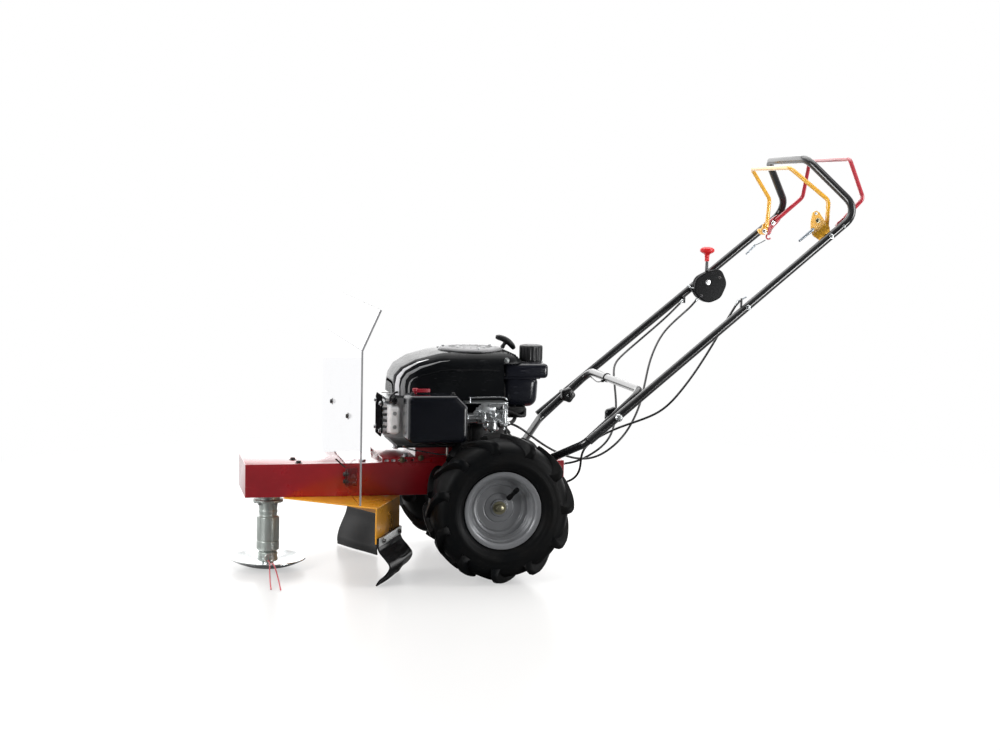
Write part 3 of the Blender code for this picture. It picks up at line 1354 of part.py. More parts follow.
def clamp_bolts():
    """A bolt through each leg and arm of the handlebar, with a lobed knob inside."""
    for name, side in SIDES:
        knob_out = LOWER_SIDE - TUBE_RADIUS - GAP
        head = UPPER_SIDE + TUBE_RADIUS + GAP
        centre = at(PIVOT_BACK, 0, PIVOT_Z)
        bolt = rod("clamp_bolt_" + name, centre + Vector((0, side * (knob_out - 0.012), 0)),
                   centre + Vector((0, side * (head + 0.001), 0)), CLAMP_BOLT_RADIUS)
        cap = rod("bolt_cap", centre + Vector((0, side * head, 0)),
                  centre + Vector((0, side * (head + 0.006), 0)), 0.009, SMALL_STEPS, 0.006)
        fuse(bolt, cap)
        finish(bolt, "zinc")
        outline = []
        for i in range(4 * KNOB_LOBES):
            angle = 2 * math.pi * i / (4 * KNOB_LOBES)
            radius = KNOB_RADIUS * (0.86 + 0.14 * math.cos(KNOB_LOBES * angle))
            outline.append((radius * math.cos(angle), radius * math.sin(angle)))
        middle = centre + Vector((0, side * (knob_out - KNOB_THICKNESS / 2), 0))
        knob = plate("clamp_knob_" + name, [outline], KNOB_THICKNESS, middle, (1, 0, 0), (0, 0, 1))
        bore = rod("knob_bore", centre + Vector((0, side * (knob_out + 0.01), 0)),
                   centre + Vector((0, side * (knob_out - 0.0125), 0)), CLAMP_BOLT_RADIUS + GAP)
        cut(knob, bore)
        finish(knob, "black_plastic")


def lever_plate(name, centre, outline, side):
    """A flat lever on a bail's pivot, with a clearance hole for the pin."""
    points = [(centre.x - AXLE_X + back, centre.z - RIDE + up) for back, up in outline]
    lever = side_plate(name, points, LEVER_SHEET, side)
    hole = rod(name + "_hole", (centre.x, side - 0.01, centre.z), (centre.x, side + 0.01, centre.z),
               BAIL_PIN_RADIUS + GAP, 10)
    return cut(lever, hole)


def bail(name, half, levers, pivot_back, side, finish_key):
    """A round bar bent over to a cross bar, welded to a pivoted lever at each end."""
    path = [at(back, -across, up) for back, across, up in half]
    path += [at(back, across, up) for back, across, up in reversed(half)]
    bar = tube(name, bend(path, 0.018, 3), BAIL_RADIUS, sides=8)
    for outline, across in zip(levers, (-side, side)):
        pivot = leg_point(pivot_back, 1)
        fuse(bar, solid(lever_plate(name + "_lever", pivot, outline, across)))
    finish(bar, finish_key)


def bails():
    """Two sprung bails: yellow below the grip and red behind it, each on two levers."""
    inner = YELLOW_SIDE - 0.006
    bell_crank = [(-0.044, 0.010), (-0.027, -0.011), (0.002, -0.009), (0.009, 0.000),
                  (0.009, 0.022), (-0.010, 0.038), (-0.0185, 0.052), (-0.026, 0.057),
                  (-0.034, 0.052), (-0.038, 0.036)]
    short = [(-0.020, 0.004), (-0.012, -0.008), (0.002, -0.009), (0.009, 0.000), (0.009, 0.020),
             (-0.003, 0.020), (-0.006, 0.008)]
    half = [(0.7665, inner, 0.792), (0.7700, inner - 0.003, 0.862), (0.697, 0.122, 0.935)]
    bail("yellow_bail", half, (bell_crank, short), YELLOW_BACK, YELLOW_SIDE, "yellow_paint")

    inner = RED_SIDE - 0.006
    ear = [(-0.010, -0.008), (0.004, -0.010), (0.016, 0.002), (0.024, 0.014), (0.014, 0.022),
           (-0.002, 0.010)]
    hook = [(-0.009, 0.006), (-0.016, -0.028), (-0.018, -0.040), (-0.010, -0.046), (-0.002, -0.040),
            (-0.004, -0.028), (0.004, -0.010), (0.016, 0.002), (0.024, 0.014), (0.014, 0.022),
            (-0.002, 0.012)]
    half = [(0.794, inner, 0.8085), (0.857, 0.178, 0.868), (0.847, 0.118, 0.9585)]
    bail("red_bail", half, (ear, hook), RED_BACK, RED_SIDE, "red_paint")


def throttle():
    """Throttle box on the right leg, its lever in a slot and the mushroom knob."""
    pivot = THROTTLE_PIVOT
    outline = [(0.5870, 0.6590), (0.5840, 0.6220), (0.6200, 0.6000), (0.6500, 0.6130),
               (0.6660, 0.6480), (0.6500, 0.6840), (0.6180, 0.6760)]
    side = THROTTLE_SIDE
    box = side_plate("throttle_box", rounded(outline, 0.012), THROTTLE_THICKNESS, side)
    round_edges(box, 0.003, 1)
    box = solid(box)
    lead = math.radians(10)
    reach = 0.062
    swings = (-THROTTLE_FORWARD - lead, -0.4 * THROTTLE_FORWARD, 0, THROTTLE_BACK + lead)
    fan = [(pivot[0] + reach * math.sin(a), pivot[1] + reach * math.cos(a)) for a in swings]
    floor = [(pivot[0] + 0.014 * math.sin(a), pivot[1] + 0.014 * math.cos(a))
             for a in (math.pi * 0.5, math.pi * 0.75, math.pi, math.pi * 1.25, math.pi * 1.5)]
    slot = side_plate("throttle_slot", fan + floor, THROTTLE_SLOT, side)
    cut(box, slot)
    half = THROTTLE_THICKNESS / 2
    bolt_hole = rod("throttle_bolt_hole", at(pivot[0], side - half - 0.01, pivot[1]),
                    at(pivot[0], side + half + 0.01, pivot[1]), 0.003 + GAP)
    cut(box, bolt_hole)
    finish(box, "black_plastic")

    blade = 0.004
    stem_end = THROTTLE_LEVER_LENGTH
    shape = [(-0.0035, stem_end), (-0.005, 0.010), (-0.009, 0.003), (-0.009, -0.006),
             (-0.004, -0.010), (0.004, -0.010), (0.009, -0.006), (0.009, 0.003), (0.005, 0.010),
             (0.0035, stem_end)]
    points = [(pivot[0] + back, pivot[1] + up) for back, up in shape]
    lever = side_plate("throttle_lever", points, blade, side)
    axle = rod("lever_axle", at(pivot[0], side - half - 0.003, pivot[1]),
               at(pivot[0], side + half - 0.001, pivot[1]), 0.003)
    bolt_face = rod("lever_bolt_head", at(pivot[0], side - half - 0.0045, pivot[1]),
                    at(pivot[0], side - half - GAP, pivot[1]), 0.0055)
    fuse(lever, axle, bolt_face)
    finish(lever, "black_plastic")

    foot = at(pivot[0], side, pivot[1] + stem_end + GAP)
    radius = THROTTLE_KNOB_RADIUS
    knob = turned("throttle_knob", [
        (0, 0.037), (0.62 * radius, 0.0352), (radius, 0.029), (0.94 * radius, 0.023),
        (0.40 * radius, 0.017), (0.30 * radius, 0), (0, 0),
    ], foot, steps=16)
    finish(knob, "red_plastic")


def cables():
    """Three sheathed cables from the handlebar down to the engine, idler and gearbox."""
    finish(tube("throttle_cable", smooth_route(THROTTLE_ROUTE, CABLE_STEP), CABLE_RADIUS, 8),
           "black_plastic")
    finish(tube("drive_cable", smooth_route(DRIVE_ROUTE, CABLE_STEP), CABLE_RADIUS, 8),
           "black_plastic")
    finish(tube("clutch_cable", smooth_route(CLUTCH_ROUTE, CABLE_STEP), CABLE_RADIUS, 8),
           "black_plastic")


PULL = Vector((math.sin(GRIP_TILT), 0, math.cos(GRIP_TILT)))
GRIP_FOOT = at(0.048, 0.012, SHROUD_TOP)
CLUTCH_END = at(CHASSIS_REAR, -0.050, 0.236)
CABLE_TAB_LEFT = 0.549
CABLE_TAB_RIGHT = 0.562

# Flap sections by hand, as distance out from the wall and height
FLAP_BOWS = {
    "left": [(0.000, 0.0880), (0.006, 0.0750), (0.021, 0.0590), (0.030, 0.0450), (0.022, 0.0290),
             (0.007, 0.0150), (-0.001, FLAP_BOTTOM)],
    "right": [(0.000, 0.0900), (-0.005, 0.0760), (-0.016, 0.0560), (-0.025, 0.0360),
              (-0.029, 0.0180), (-0.028, FLAP_BOTTOM)],
}

# Cable routes, by hand along the real ones
THROTTLE_ROUTE = [
    at(0.5973, THROTTLE_SIDE, 0.6131), at(0.5850, 0.1985, 0.5950), at(0.545, 0.180, 0.568),
    at(0.480, 0.120, 0.528), at(0.430, 0.055, 0.474), at(0.398, 0.000, 0.413),
    at(0.372, -0.040, 0.362), at(0.324, -0.075, 0.300), at(0.265, -0.078, 0.256),
    at(0.215, -0.082, 0.252), at(0.165, -0.090, 0.268), at(0.110, -0.112, 0.300),
    at(0.070, -0.122, 0.330), at(0.046, -0.124, 0.3445), at(0.0288, -0.124, 0.3460),
]
CLUTCH_ROUTE = [
    at(0.5580, 0.204, 0.6050), at(0.545, 0.202, 0.5920), at(0.510, 0.197, 0.560),
    at(0.441, 0.178, 0.508), at(0.385, 0.150, 0.470), at(0.354, 0.110, 0.449),
    at(0.340, 0.050, 0.405), at(0.330, 0.000, 0.360), at(0.312, -0.040, 0.315),
    at(0.285, -0.066, 0.283), at(0.245, -0.066, 0.256), at(0.214, -0.054, 0.238),
    CLUTCH_END + Vector((0.018, 0, 0)), CLUTCH_END,
]
DRIVE_ROUTE = [
    at(0.5443, -0.2206, 0.6309), at(0.5340, -0.2140, 0.6110), at(0.518, -0.203, 0.575),
    at(0.490, -0.186, 0.515), at(0.452, -0.165, 0.444), at(0.399, -0.150, 0.376),
    at(0.345, -0.130, 0.347), at(0.295, -0.118, 0.328), at(0.245, -0.118, 0.304),
    at(0.215, -0.115, 0.281), at(0.213, -0.108, 0.257), at(0.220, -0.102, 0.236),
    at(0.213, -0.094, 0.212), at(0.199, -0.083, 0.1975), at(CHASSIS_REAR + 0.0006, -0.080, 0.1960),
]


def build():
    for side_name, side in SIDES:
        wheel(side_name, side)
    chassis_beam()
    cutting_head()
    belt_drive()
    axle_gearbox()
    guard()
    flaps()
    shield()
    engine_base()
    cylinder()
    blower_housing()
    tank()
    intake()
    lower_handle()
    upper_handle()
    clamp_bolts()
    bails()
    throttle()
    cables()


clear_scene()
PARTS = make_collection("wheeled_brush_cutter")
CUTTERS = make_collection("cutters")
build()
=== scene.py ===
"""Looks of the two-wheeled walk-behind brush cutter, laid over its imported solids.

X runs towards the operator, Y to the machine's right-hand side and Z up, in metres.
Lengths along the machine are given from the wheel axle, as its solids give them.
"""
import math

import bmesh
import bpy
from mathutils import Matrix, Vector


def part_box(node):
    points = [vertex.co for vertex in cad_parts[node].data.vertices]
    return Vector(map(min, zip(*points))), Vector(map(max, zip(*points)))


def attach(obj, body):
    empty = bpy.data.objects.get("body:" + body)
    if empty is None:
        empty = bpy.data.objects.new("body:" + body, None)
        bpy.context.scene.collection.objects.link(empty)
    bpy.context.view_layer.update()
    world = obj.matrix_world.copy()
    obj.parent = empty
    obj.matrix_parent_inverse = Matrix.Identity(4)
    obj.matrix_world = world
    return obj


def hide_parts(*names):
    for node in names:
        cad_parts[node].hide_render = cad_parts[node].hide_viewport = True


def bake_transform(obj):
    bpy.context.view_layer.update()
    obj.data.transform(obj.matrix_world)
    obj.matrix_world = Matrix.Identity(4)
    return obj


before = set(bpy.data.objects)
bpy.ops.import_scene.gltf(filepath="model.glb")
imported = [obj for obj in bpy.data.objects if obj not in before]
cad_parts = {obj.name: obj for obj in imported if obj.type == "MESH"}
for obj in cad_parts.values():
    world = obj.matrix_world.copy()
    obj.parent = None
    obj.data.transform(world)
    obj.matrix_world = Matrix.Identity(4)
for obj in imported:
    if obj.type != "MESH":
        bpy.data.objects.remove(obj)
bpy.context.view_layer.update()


# CHASSIS BEAM
# An inverted tray of 3 mm steel, 733 mm long, folded and welded, then powder coated red.
# It carries the engine, both gearboxes and the guard on bolts through its top.
AXLE_X = -0.1414
BEAM_HALF = 0.0875
BEAM_BOTTOM = 0.1755
BEAM_TOP = 0.250
BEAM_RED = (0.36, 0.006, 0.014)


def at(back, side, up):
    """A point by its distance behind the axle, to the right, and above the ground."""
    return Vector((AXLE_X + back, side, up))


def add(tree, kind, sockets=(), **settings):
    """A node with its settings, and its inputs set or linked by name or number."""
    node = tree.nodes.new(kind)
    for key, value in settings.items():
        setattr(node, key, value)
    for key, value in dict(sockets).items():
        if isinstance(value, bpy.types.NodeSocket):
            tree.links.new(value, node.inputs[key])
        else:
            node.inputs[key].default_value = value
    return node


def span(tree, value, low, high, to_low=0.0, to_high=1.0):
    return add(tree, "ShaderNodeMapRange", {
        "Value": value, "From Min": low, "From Max": high, "To Min": to_low, "To Max": to_high,
    }).outputs[0]


def maths(tree, a, operation, b, **settings):
    return add(tree, "ShaderNodeMath", {0: a, 1: b}, operation=operation, **settings).outputs[0]


def times(tree, a, b):
    return maths(tree, a, "MULTIPLY", b)


def blended(tree, share, a, b):
    """Colour a, with b over it by a share."""
    return add(tree, "ShaderNodeMix", {0: share, 6: a, 7: b}, data_type="RGBA").outputs[2]


def worked_surface():
    """Grain, cloudy variation, fine scratches and settled dust, all on the piece's own place."""
    tree = bpy.data.node_groups.new("worked_surface", "ShaderNodeTree")
    for label, value in (("Grain Scale", 900.0), ("Cloud Scale", 9.0), ("Scratch Scale", 30.0)):
        scale = tree.interface.new_socket(label, in_out="INPUT", socket_type="NodeSocketFloat")
        scale.default_value = value
    for label in ("Grain", "Clouds", "Scratches", "Settled"):
        tree.interface.new_socket(label, in_out="OUTPUT", socket_type="NodeSocketFloat")
    given = tree.nodes.new("NodeGroupInput").outputs
    out = tree.nodes.new("NodeGroupOutput").inputs
    spot = add(tree, "ShaderNodeTexCoord")
    own = spot.outputs["Object"]
    grain = add(tree, "ShaderNodeTexNoise", {"Vector": own, "Scale": given[0], "Detail": 2.0})
    clouds = add(tree, "ShaderNodeTexNoise", {
        "Vector": own, "Scale": given[1], "Detail": 6.0, "Roughness": 0.62}).outputs[0]
    drawn = add(tree, "ShaderNodeMapping", {
        "Vector": own, "Rotation": (0.35, 0.6, 0.2), "Scale": (1.0, 11.0, 30.0)})
    lines = add(tree, "ShaderNodeTexNoise", {
        "Vector": drawn.outputs[0], "Scale": given[2], "Detail": 1.0}).outputs[0]
    where = add(tree, "ShaderNodeTexNoise", {
        "Vector": own, "Scale": 23.0, "Detail": 3.0}).outputs[0]
    up = add(tree, "ShaderNodeSeparateXYZ", {0: spot.outputs["Normal"]}).outputs["Z"]
    tree.links.new(grain.outputs[0], out["Grain"])
    tree.links.new(clouds, out["Clouds"])
    tree.links.new(times(tree, span(tree, lines, 0.67, 0.72), span(tree, where, 0.52, 0.64)),
                   out["Scratches"])
    tree.links.new(times(tree, span(tree, up, 0.35, 0.95), span(tree, clouds, 0.38, 0.66)),
                   out["Settled"])
    return tree


SURFACE = worked_surface()
DUST = (0.26, 0.24, 0.21)


def finish(name, colour, roughness, metallic=0.0, second=None, worn=None, dust=0.06, grain=900.0,
           bump=0.00004, clouds=9.0, spread=0.08, coat=0.0, coat_rough=0.08, level=0.5):
    """A worked finish: clouded with a second colour, worn in scratches, dusted on top."""
    material = bpy.data.materials.new(name)
    material.use_nodes = True
    tree = material.node_tree
    shader = tree.nodes["Principled BSDF"]
    marks = add(tree, "ShaderNodeGroup", node_tree=SURFACE)
    marks.inputs["Grain Scale"].default_value = grain
    marks.inputs["Cloud Scale"].default_value = clouds
    cloud, scratch = marks.outputs["Clouds"], marks.outputs["Scratches"]
    second = second or tuple(0.72 * c for c in colour)
    worn = worn or tuple(min(1.0, c * 1.5 + 0.02) for c in colour)
    base = blended(tree, span(tree, cloud, 0.35, 0.70), (*colour, 1), (*second, 1))
    base = blended(tree, times(tree, scratch, 0.7), base, (*worn, 1))
    base = blended(tree, times(tree, marks.outputs["Settled"], dust), base, (*DUST, 1))
    rough = maths(tree, span(tree, cloud, 0.3, 0.7, roughness - spread, roughness + spread), "ADD",
                  times(tree, scratch, 0.12), use_clamp=True)
    relief = add(tree, "ShaderNodeBump", {"Height": marks.outputs["Grain"], "Distance": bump})
    tree.links.new(base, shader.inputs["Base Color"])
    tree.links.new(rough, shader.inputs["Roughness"])
    tree.links.new(relief.outputs[0], shader.inputs["Normal"])
    shader.inputs["Metallic"].default_value = metallic
    shader.inputs["Coat Weight"].default_value = coat
    shader.inputs["Coat Roughness"].default_value = coat_rough
    shader.inputs["Specular IOR Level"].default_value = level
    return material


def face_out(shape):
    """Every closed part of a shape turned so that its faces look outwards."""
    bmesh.ops.recalc_face_normals(shape, faces=shape.faces)
    waiting = set(shape.faces)
    while waiting:
        part, reached = set(), [waiting.pop()]
        while reached:
            face = reached.pop()
            if face not in part:
                part.add(face)
                reached += [near for edge in face.edges for near in edge.link_faces]
        waiting -= part
        inside = sum(face.calc_center_median().dot(face.normal) * face.calc_area() for face in part)
        if inside < 0:
            bmesh.ops.reverse_faces(shape, faces=list(part))


def piece(name, shape, material, body, *nodes, slot=None, bevel=0.0, steps=2, angle=0.6):
    """A finished piece from its shape: closed, facing out, eased and riding on its body."""
    if isinstance(shape, bmesh.types.BMesh):
        bmesh.ops.remove_doubles(shape, verts=shape.verts, dist=2e-6)
        face_out(shape)
        mesh = bpy.data.meshes.new(name)
        shape.to_mesh(mesh)
        shape.free()
    else:
        mesh = shape
    mesh.materials.clear()
    mesh.materials.append(material)
    mesh.shade_smooth()
    made = bpy.data.objects.new(name, mesh)
    bpy.context.scene.collection.objects.link(made)
    if bevel:
        edge = made.modifiers.new("eased_edges", "BEVEL")
        edge.width = bevel
        edge.segments = steps
        edge.limit_method = "ANGLE"
        edge.angle_limit = angle
        edge.harden_normals = True
    else:
        mesh.set_sharp_from_angle(angle=angle)
    if nodes:
        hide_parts(*nodes)
    if isinstance(body, str):
        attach(made, body)
    else:
        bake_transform(made)
    return made


def solid_of(node):
    """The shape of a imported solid, welded and with its flat faces whole."""
    shape = bmesh.new()
    shape.from_mesh(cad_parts[node].data)
    bmesh.ops.remove_doubles(shape, verts=shape.verts, dist=2e-5)
    bmesh.ops.dissolve_limit(shape, angle_limit=0.02, verts=shape.verts, edges=shape.edges)
    return shape


def plain_mesh(name, tree, values, start=None):
    """The plain mesh that a tree of nodes makes from its start and its named values."""
    carrier = bpy.data.objects.new(name, start or bpy.data.meshes.new(name))
    bpy.context.scene.collection.objects.link(carrier)
    modifier = carrier.modifiers.new("made", "NODES")
    modifier.node_group = tree
    for item in tree.interface.items_tree:
        if item.item_type == "SOCKET" and item.in_out == "INPUT" and item.name in values:
            modifier[item.identifier] = values[item.name]
    bpy.context.view_layer.update()
    ready = carrier.evaluated_get(bpy.context.evaluated_depsgraph_get())
    mesh = bpy.data.meshes.new_from_object(ready)
    bpy.data.objects.remove(carrier, do_unlink=True)
    return mesh


def geometry_tree(name, inputs):
    """A geometry tree with its start, its named inputs and its end."""
    tree = bpy.data.node_groups.new(name, "GeometryNodeTree")
    tree.interface.new_socket("Start", in_out="INPUT", socket_type="NodeSocketGeometry")
    for label, kind in inputs.items():
        tree.interface.new_socket(label, in_out="INPUT", socket_type="NodeSocket" + kind)
    tree.interface.new_socket("Result", in_out="OUTPUT", socket_type="NodeSocketGeometry")
    given = tree.nodes.new("NodeGroupInput").outputs
    return tree, given, tree.nodes.new("NodeGroupOutput").inputs


def close_tree(tree, given, out, instances):
    """The end of a geometry tree: its instances made real and faced with one material."""
    real = add(tree, "GeometryNodeRealizeInstances", {0: instances})
    faced = add(tree, "GeometryNodeSetMaterial", {
        "Geometry": real.outputs[0], "Material": given["Material"]})
    tree.links.new(faced.outputs[0], out[0])
    return tree


def bolt_tree():
    """A chamfered hexagon head on a washer at every point, standing along its facing."""
    tree, given, out = geometry_tree("bolt_heads", {
        "Radius": "Float", "Height": "Float", "Washer": "Float", "Material": "Material"})
    lift = times(tree, given["Height"], 0.22)
    half = times(tree, given["Height"], 0.5)
    chamfer = times(tree, given["Height"], 0.16)
    hexagon = add(tree, "GeometryNodeMeshCylinder", {
        "Vertices": 6, "Radius": given["Radius"], "Depth": given["Height"]})
    crown = add(tree, "GeometryNodeMeshCone", {
        "Vertices": 18, "Radius Top": times(tree, given["Radius"], 0.62),
        "Radius Bottom": times(tree, given["Radius"], 0.84), "Depth": chamfer})
    washer = add(tree, "GeometryNodeMeshCylinder", {
        "Vertices": 24, "Radius": given["Washer"], "Depth": times(tree, given["Height"], 0.3)})
    raised = maths(tree, lift, "ADD", half)
    top = maths(tree, raised, "ADD", half)
    parts = []
    for made, height in ((hexagon, raised), (crown, top), (washer, times(tree, lift, 0.5))):
        place = add(tree, "ShaderNodeCombineXYZ", {"Z": height})
        parts.append(add(tree, "GeometryNodeTransform", {
            "Geometry": made.outputs[0], "Translation": place.outputs[0]}).outputs[0])
    joined = tree.nodes.new("GeometryNodeJoinGeometry")
    for part in parts:
        tree.links.new(part, joined.inputs[0])
    facing = add(tree, "GeometryNodeInputNamedAttribute", {"Name": "facing"},
                 data_type="FLOAT_VECTOR")
    turn = add(tree, "FunctionNodeAlignRotationToVector", {"Vector": facing.outputs[0]}, axis="Z")
    copies = add(tree, "GeometryNodeInstanceOnPoints", {
        "Points": given["Start"], "Instance": joined.outputs[0], "Rotation": turn.outputs[0]})
    return close_tree(tree, given, out, copies.outputs[0])


BOLT_HEADS = bolt_tree()


def bolts(name, body, spots, radius, height, washer, material):
    """Bolt heads at (place, facing) pairs, made as one piece."""
    start = bpy.data.meshes.new(name + "_spots")
    start.from_pydata([tuple(spot) for spot, _ in spots], [], [])
    facing = start.attributes.new("facing", "FLOAT_VECTOR", "POINT")
    for i, (_, way) in enumerate(spots):
        facing.data[i].vector = Vector(way).normalized()
    mesh = plain_mesh(name, BOLT_HEADS, {
        "Radius": radius, "Height": height, "Washer": washer, "Material": material}, start)
    return piece(name, mesh, material, body, bevel=0.0004, steps=1)


beam_red = finish("beam_red_powder_coat", BEAM_RED, 0.30, second=(0.27, 0.004, 0.010),
                  worn=(0.48, 0.05, 0.05), dust=0.05, grain=420.0, bump=0.00005, coat=1.0,
                  coat_rough=0.2)
dark_bolt = finish("blackened_bolt_steel", (0.045, 0.045, 0.05), 0.38, 0.85,
                   second=(0.09, 0.085, 0.08), dust=0.15, grain=1500.0)
piece("beam_shell", solid_of("chassis_beam"), beam_red, "chassis", "chassis_beam",
      slot="red_paint", bevel=0.0022, steps=3)
bolts("beam_top_bolts", "chassis", [
    (at(-0.4399, -0.0240, BEAM_TOP), (0, 0, 1)), (at(-0.4319, -0.0720, BEAM_TOP), (0, 0, 1)),
], 0.0058, 0.0042, 0.0085, dark_bolt)


# WHEELS
# Bar-tread pneumatic tyres of black rubber, 330 mm over the lugs, with chevrons of moulded bars.
# Each sits on a pressed steel rim with a stepped dish, painted grey and held by an axle bolt.
SIDES = (("left", -1), ("right", 1))
WHEEL_RADIUS = 0.165
CARCASS_RADIUS = 0.156
CARCASS_HALF = 0.060
BEAD = 0.077
TRACK = 0.405
RIM_HALF = 0.048
SHAFT_START = 0.044
LUGS = 11
LUG_SWEEP = math.radians(21)


def turn_to(direction):
    return Vector(direction).to_track_quat("Z", "Y").to_matrix().to_4x4()


def eased(line, radius, closed=False, steps=4):
    """A flat line with its corners rounded, as far as its short runs allow."""
    points = [Vector(point) for point in line]
    count = len(points)
    path = []
    for i, corner in enumerate(points):
        if not closed and i in (0, count - 1):
            path.append(corner)
            continue
        before, after = points[i - 1], points[(i + 1) % count]
        arrive, leave = before - corner, after - corner
        half = arrive.angle(leave, 0) / 2
        if half < 0.05 or half > 1.53:
            path.append(corner)
            continue
        back = min(radius / math.tan(half), 0.46 * arrive.length, 0.46 * leave.length)
        first, last = corner + arrive.normalized() * back, corner + leave.normalized() * back
        for j in range(steps + 1):
            t = j / steps
            path.append(first * (1 - t) ** 2 + corner * 2 * t * (1 - t) + last * t * t)
    return path


def skin(shape, rows, across=True, along=False, ends=False):
    """Faces between rows of points, which may close across, along, and over both ends."""
    count = len(rows[0])
    for here, there in zip(rows, rows[1:] + rows[:1] if along else rows[1:]):
        for j in range(count if across else count - 1):
            k = (j + 1) % count
            shape.faces.new((here[j], there[j], there[k], here[k]))
    if ends:
        shape.faces.new(rows[0])
        shape.faces.new(rows[-1])
    return shape


def spoke_point(radius, turn, up=0.0):
    """A point by its distance from an upright axis, its turn about it and its height."""
    return Vector((radius * math.cos(turn), radius * math.sin(turn), up))


def turns_of(steps):
    return [2 * math.pi * i / steps for i in range(steps)]


def turned(shape, line, origin, axis=(0, 0, 1), steps=64, ring=False):
    """A line of (radius, height) points turned about an axis."""
    place = Matrix.Translation(origin) @ turn_to(axis)
    rows = [[shape.verts.new(place @ spoke_point(radius, turn, up)) for radius, up in line]
            for turn in turns_of(steps)]
    return skin(shape, rows, ring, True)


def around_tree():
    """The start copied in even turns about Z, and faced with one material."""
    tree, given, out = geometry_tree("turned_copies", {"Count": "Int", "Material": "Material"})
    line = add(tree, "GeometryNodeMeshLine", {"Count": given["Count"], "Offset": (0, 0, 0)})
    index = add(tree, "GeometryNodeInputIndex")
    step = maths(tree, 2 * math.pi, "DIVIDE", given["Count"])
    turn = add(tree, "ShaderNodeCombineXYZ", {"Z": times(tree, index.outputs[0], step)})
    whole = add(tree, "GeometryNodeGeometryToInstance", {0: given["Start"]})
    copies = add(tree, "GeometryNodeInstanceOnPoints", {
        "Points": line.outputs[0], "Instance": whole.outputs[0], "Rotation": turn.outputs[0]})
    return close_tree(tree, given, out, copies.outputs[0])


TURNED_COPIES = around_tree()


def copies_about(name, shape, count, material, place):
    """A shape copied in even turns about its own Z, then put in place as a plain shape."""
    start = bpy.data.meshes.new(name)
    shape.to_mesh(start)
    shape.free()
    mesh = plain_mesh(name, TURNED_COPIES, {"Count": count, "Material": material}, start)
    mesh.transform(place)
    made = bmesh.new()
    made.from_mesh(mesh)
    return made


def carcass(angle, inset=0.0):
    """Radius and half width of the tyre's squarish section, by angle from its crown."""
    middle = (CARCASS_RADIUS + BEAD) / 2
    reach = (CARCASS_RADIUS - BEAD) / 2 - inset
    cosine, sine = math.cos(angle), math.sin(angle)
    power = 2 / 2.6
    return (middle + reach * math.copysign(abs(cosine) ** power, cosine),
            (CARCASS_HALF - inset) * math.copysign(abs(sine) ** power, sine))


def tyre_line():
    """Outer wall with its rim guard and side rib, bead to bead, then the inner wall back."""
    bead = RIM_HALF - 0.0055
    outer = []
    for degrees in range(118, 4, -6):
        radius, width = carcass(math.radians(degrees))
        if degrees in (100, 94):
            width += 0.0016
        outer.append((radius, width))
    outer = [(0.0785, bead), (0.0884, bead + 0.0022), (0.0915, bead + 0.0075)] + outer
    line = outer + [(CARCASS_RADIUS, 0.0)] + [(radius, -width) for radius, width in outer[::-1]]
    inner = [carcass(math.radians(a), 0.006) for a in range(-128, 129, 16)]
    return line + [(0.0775, -bead + 0.012)] + inner + [(0.0775, bead - 0.012)]


def tread_bar(shape, start, side):
    """One moulded bar from low on the side wall, over the shoulder and past the middle."""
    crest = [(0.1290, 0.0596), (0.1375, 0.0629), (0.1465, 0.0640), (0.1540, 0.0622),
             (0.1593, 0.0580), (0.1622, 0.0510), (0.1636, 0.0410), (0.1643, 0.0290),
             (0.1648, 0.0160), (0.1650, 0.0030), (0.1648, -0.0040)]
    rings = []
    for radius, width in crest:
        depth = min(1.0, max(0.0, (radius - 0.126) / 0.03))
        sine = min(0.999, max(0.0, (width - 0.004) / CARCASS_HALF)) ** 1.3
        wall = carcass(math.asin(sine), 0.0035)
        foot = (0.152, width)
        if width > 0:
            foot = (min(wall[0], radius - 0.003), min(wall[1], width - 0.0025))
        along = max(0.0, 1.06 - width / CARCASS_HALF) / 1.10
        middle = start + LUG_SWEEP * along ** 0.8
        top, low = 0.0066 + 0.0012 * (1 - depth), 0.0104
        flank = ((radius + foot[0]) / 2, (width + foot[1]) / 2)
        edge = (radius - 0.0008, width - 0.0006 * (width > 0.04))
        line = [(foot, low), (flank, top + 0.0012), (edge, top), ((radius, width), top - 0.0012)]
        line = [(spot, -offset) for spot, offset in line] + line[::-1]
        rings.append([shape.verts.new(spoke_point(r, middle + offset / r, side * w))
                      for (r, w), offset in line])
    skin(shape, rings, ends=True)


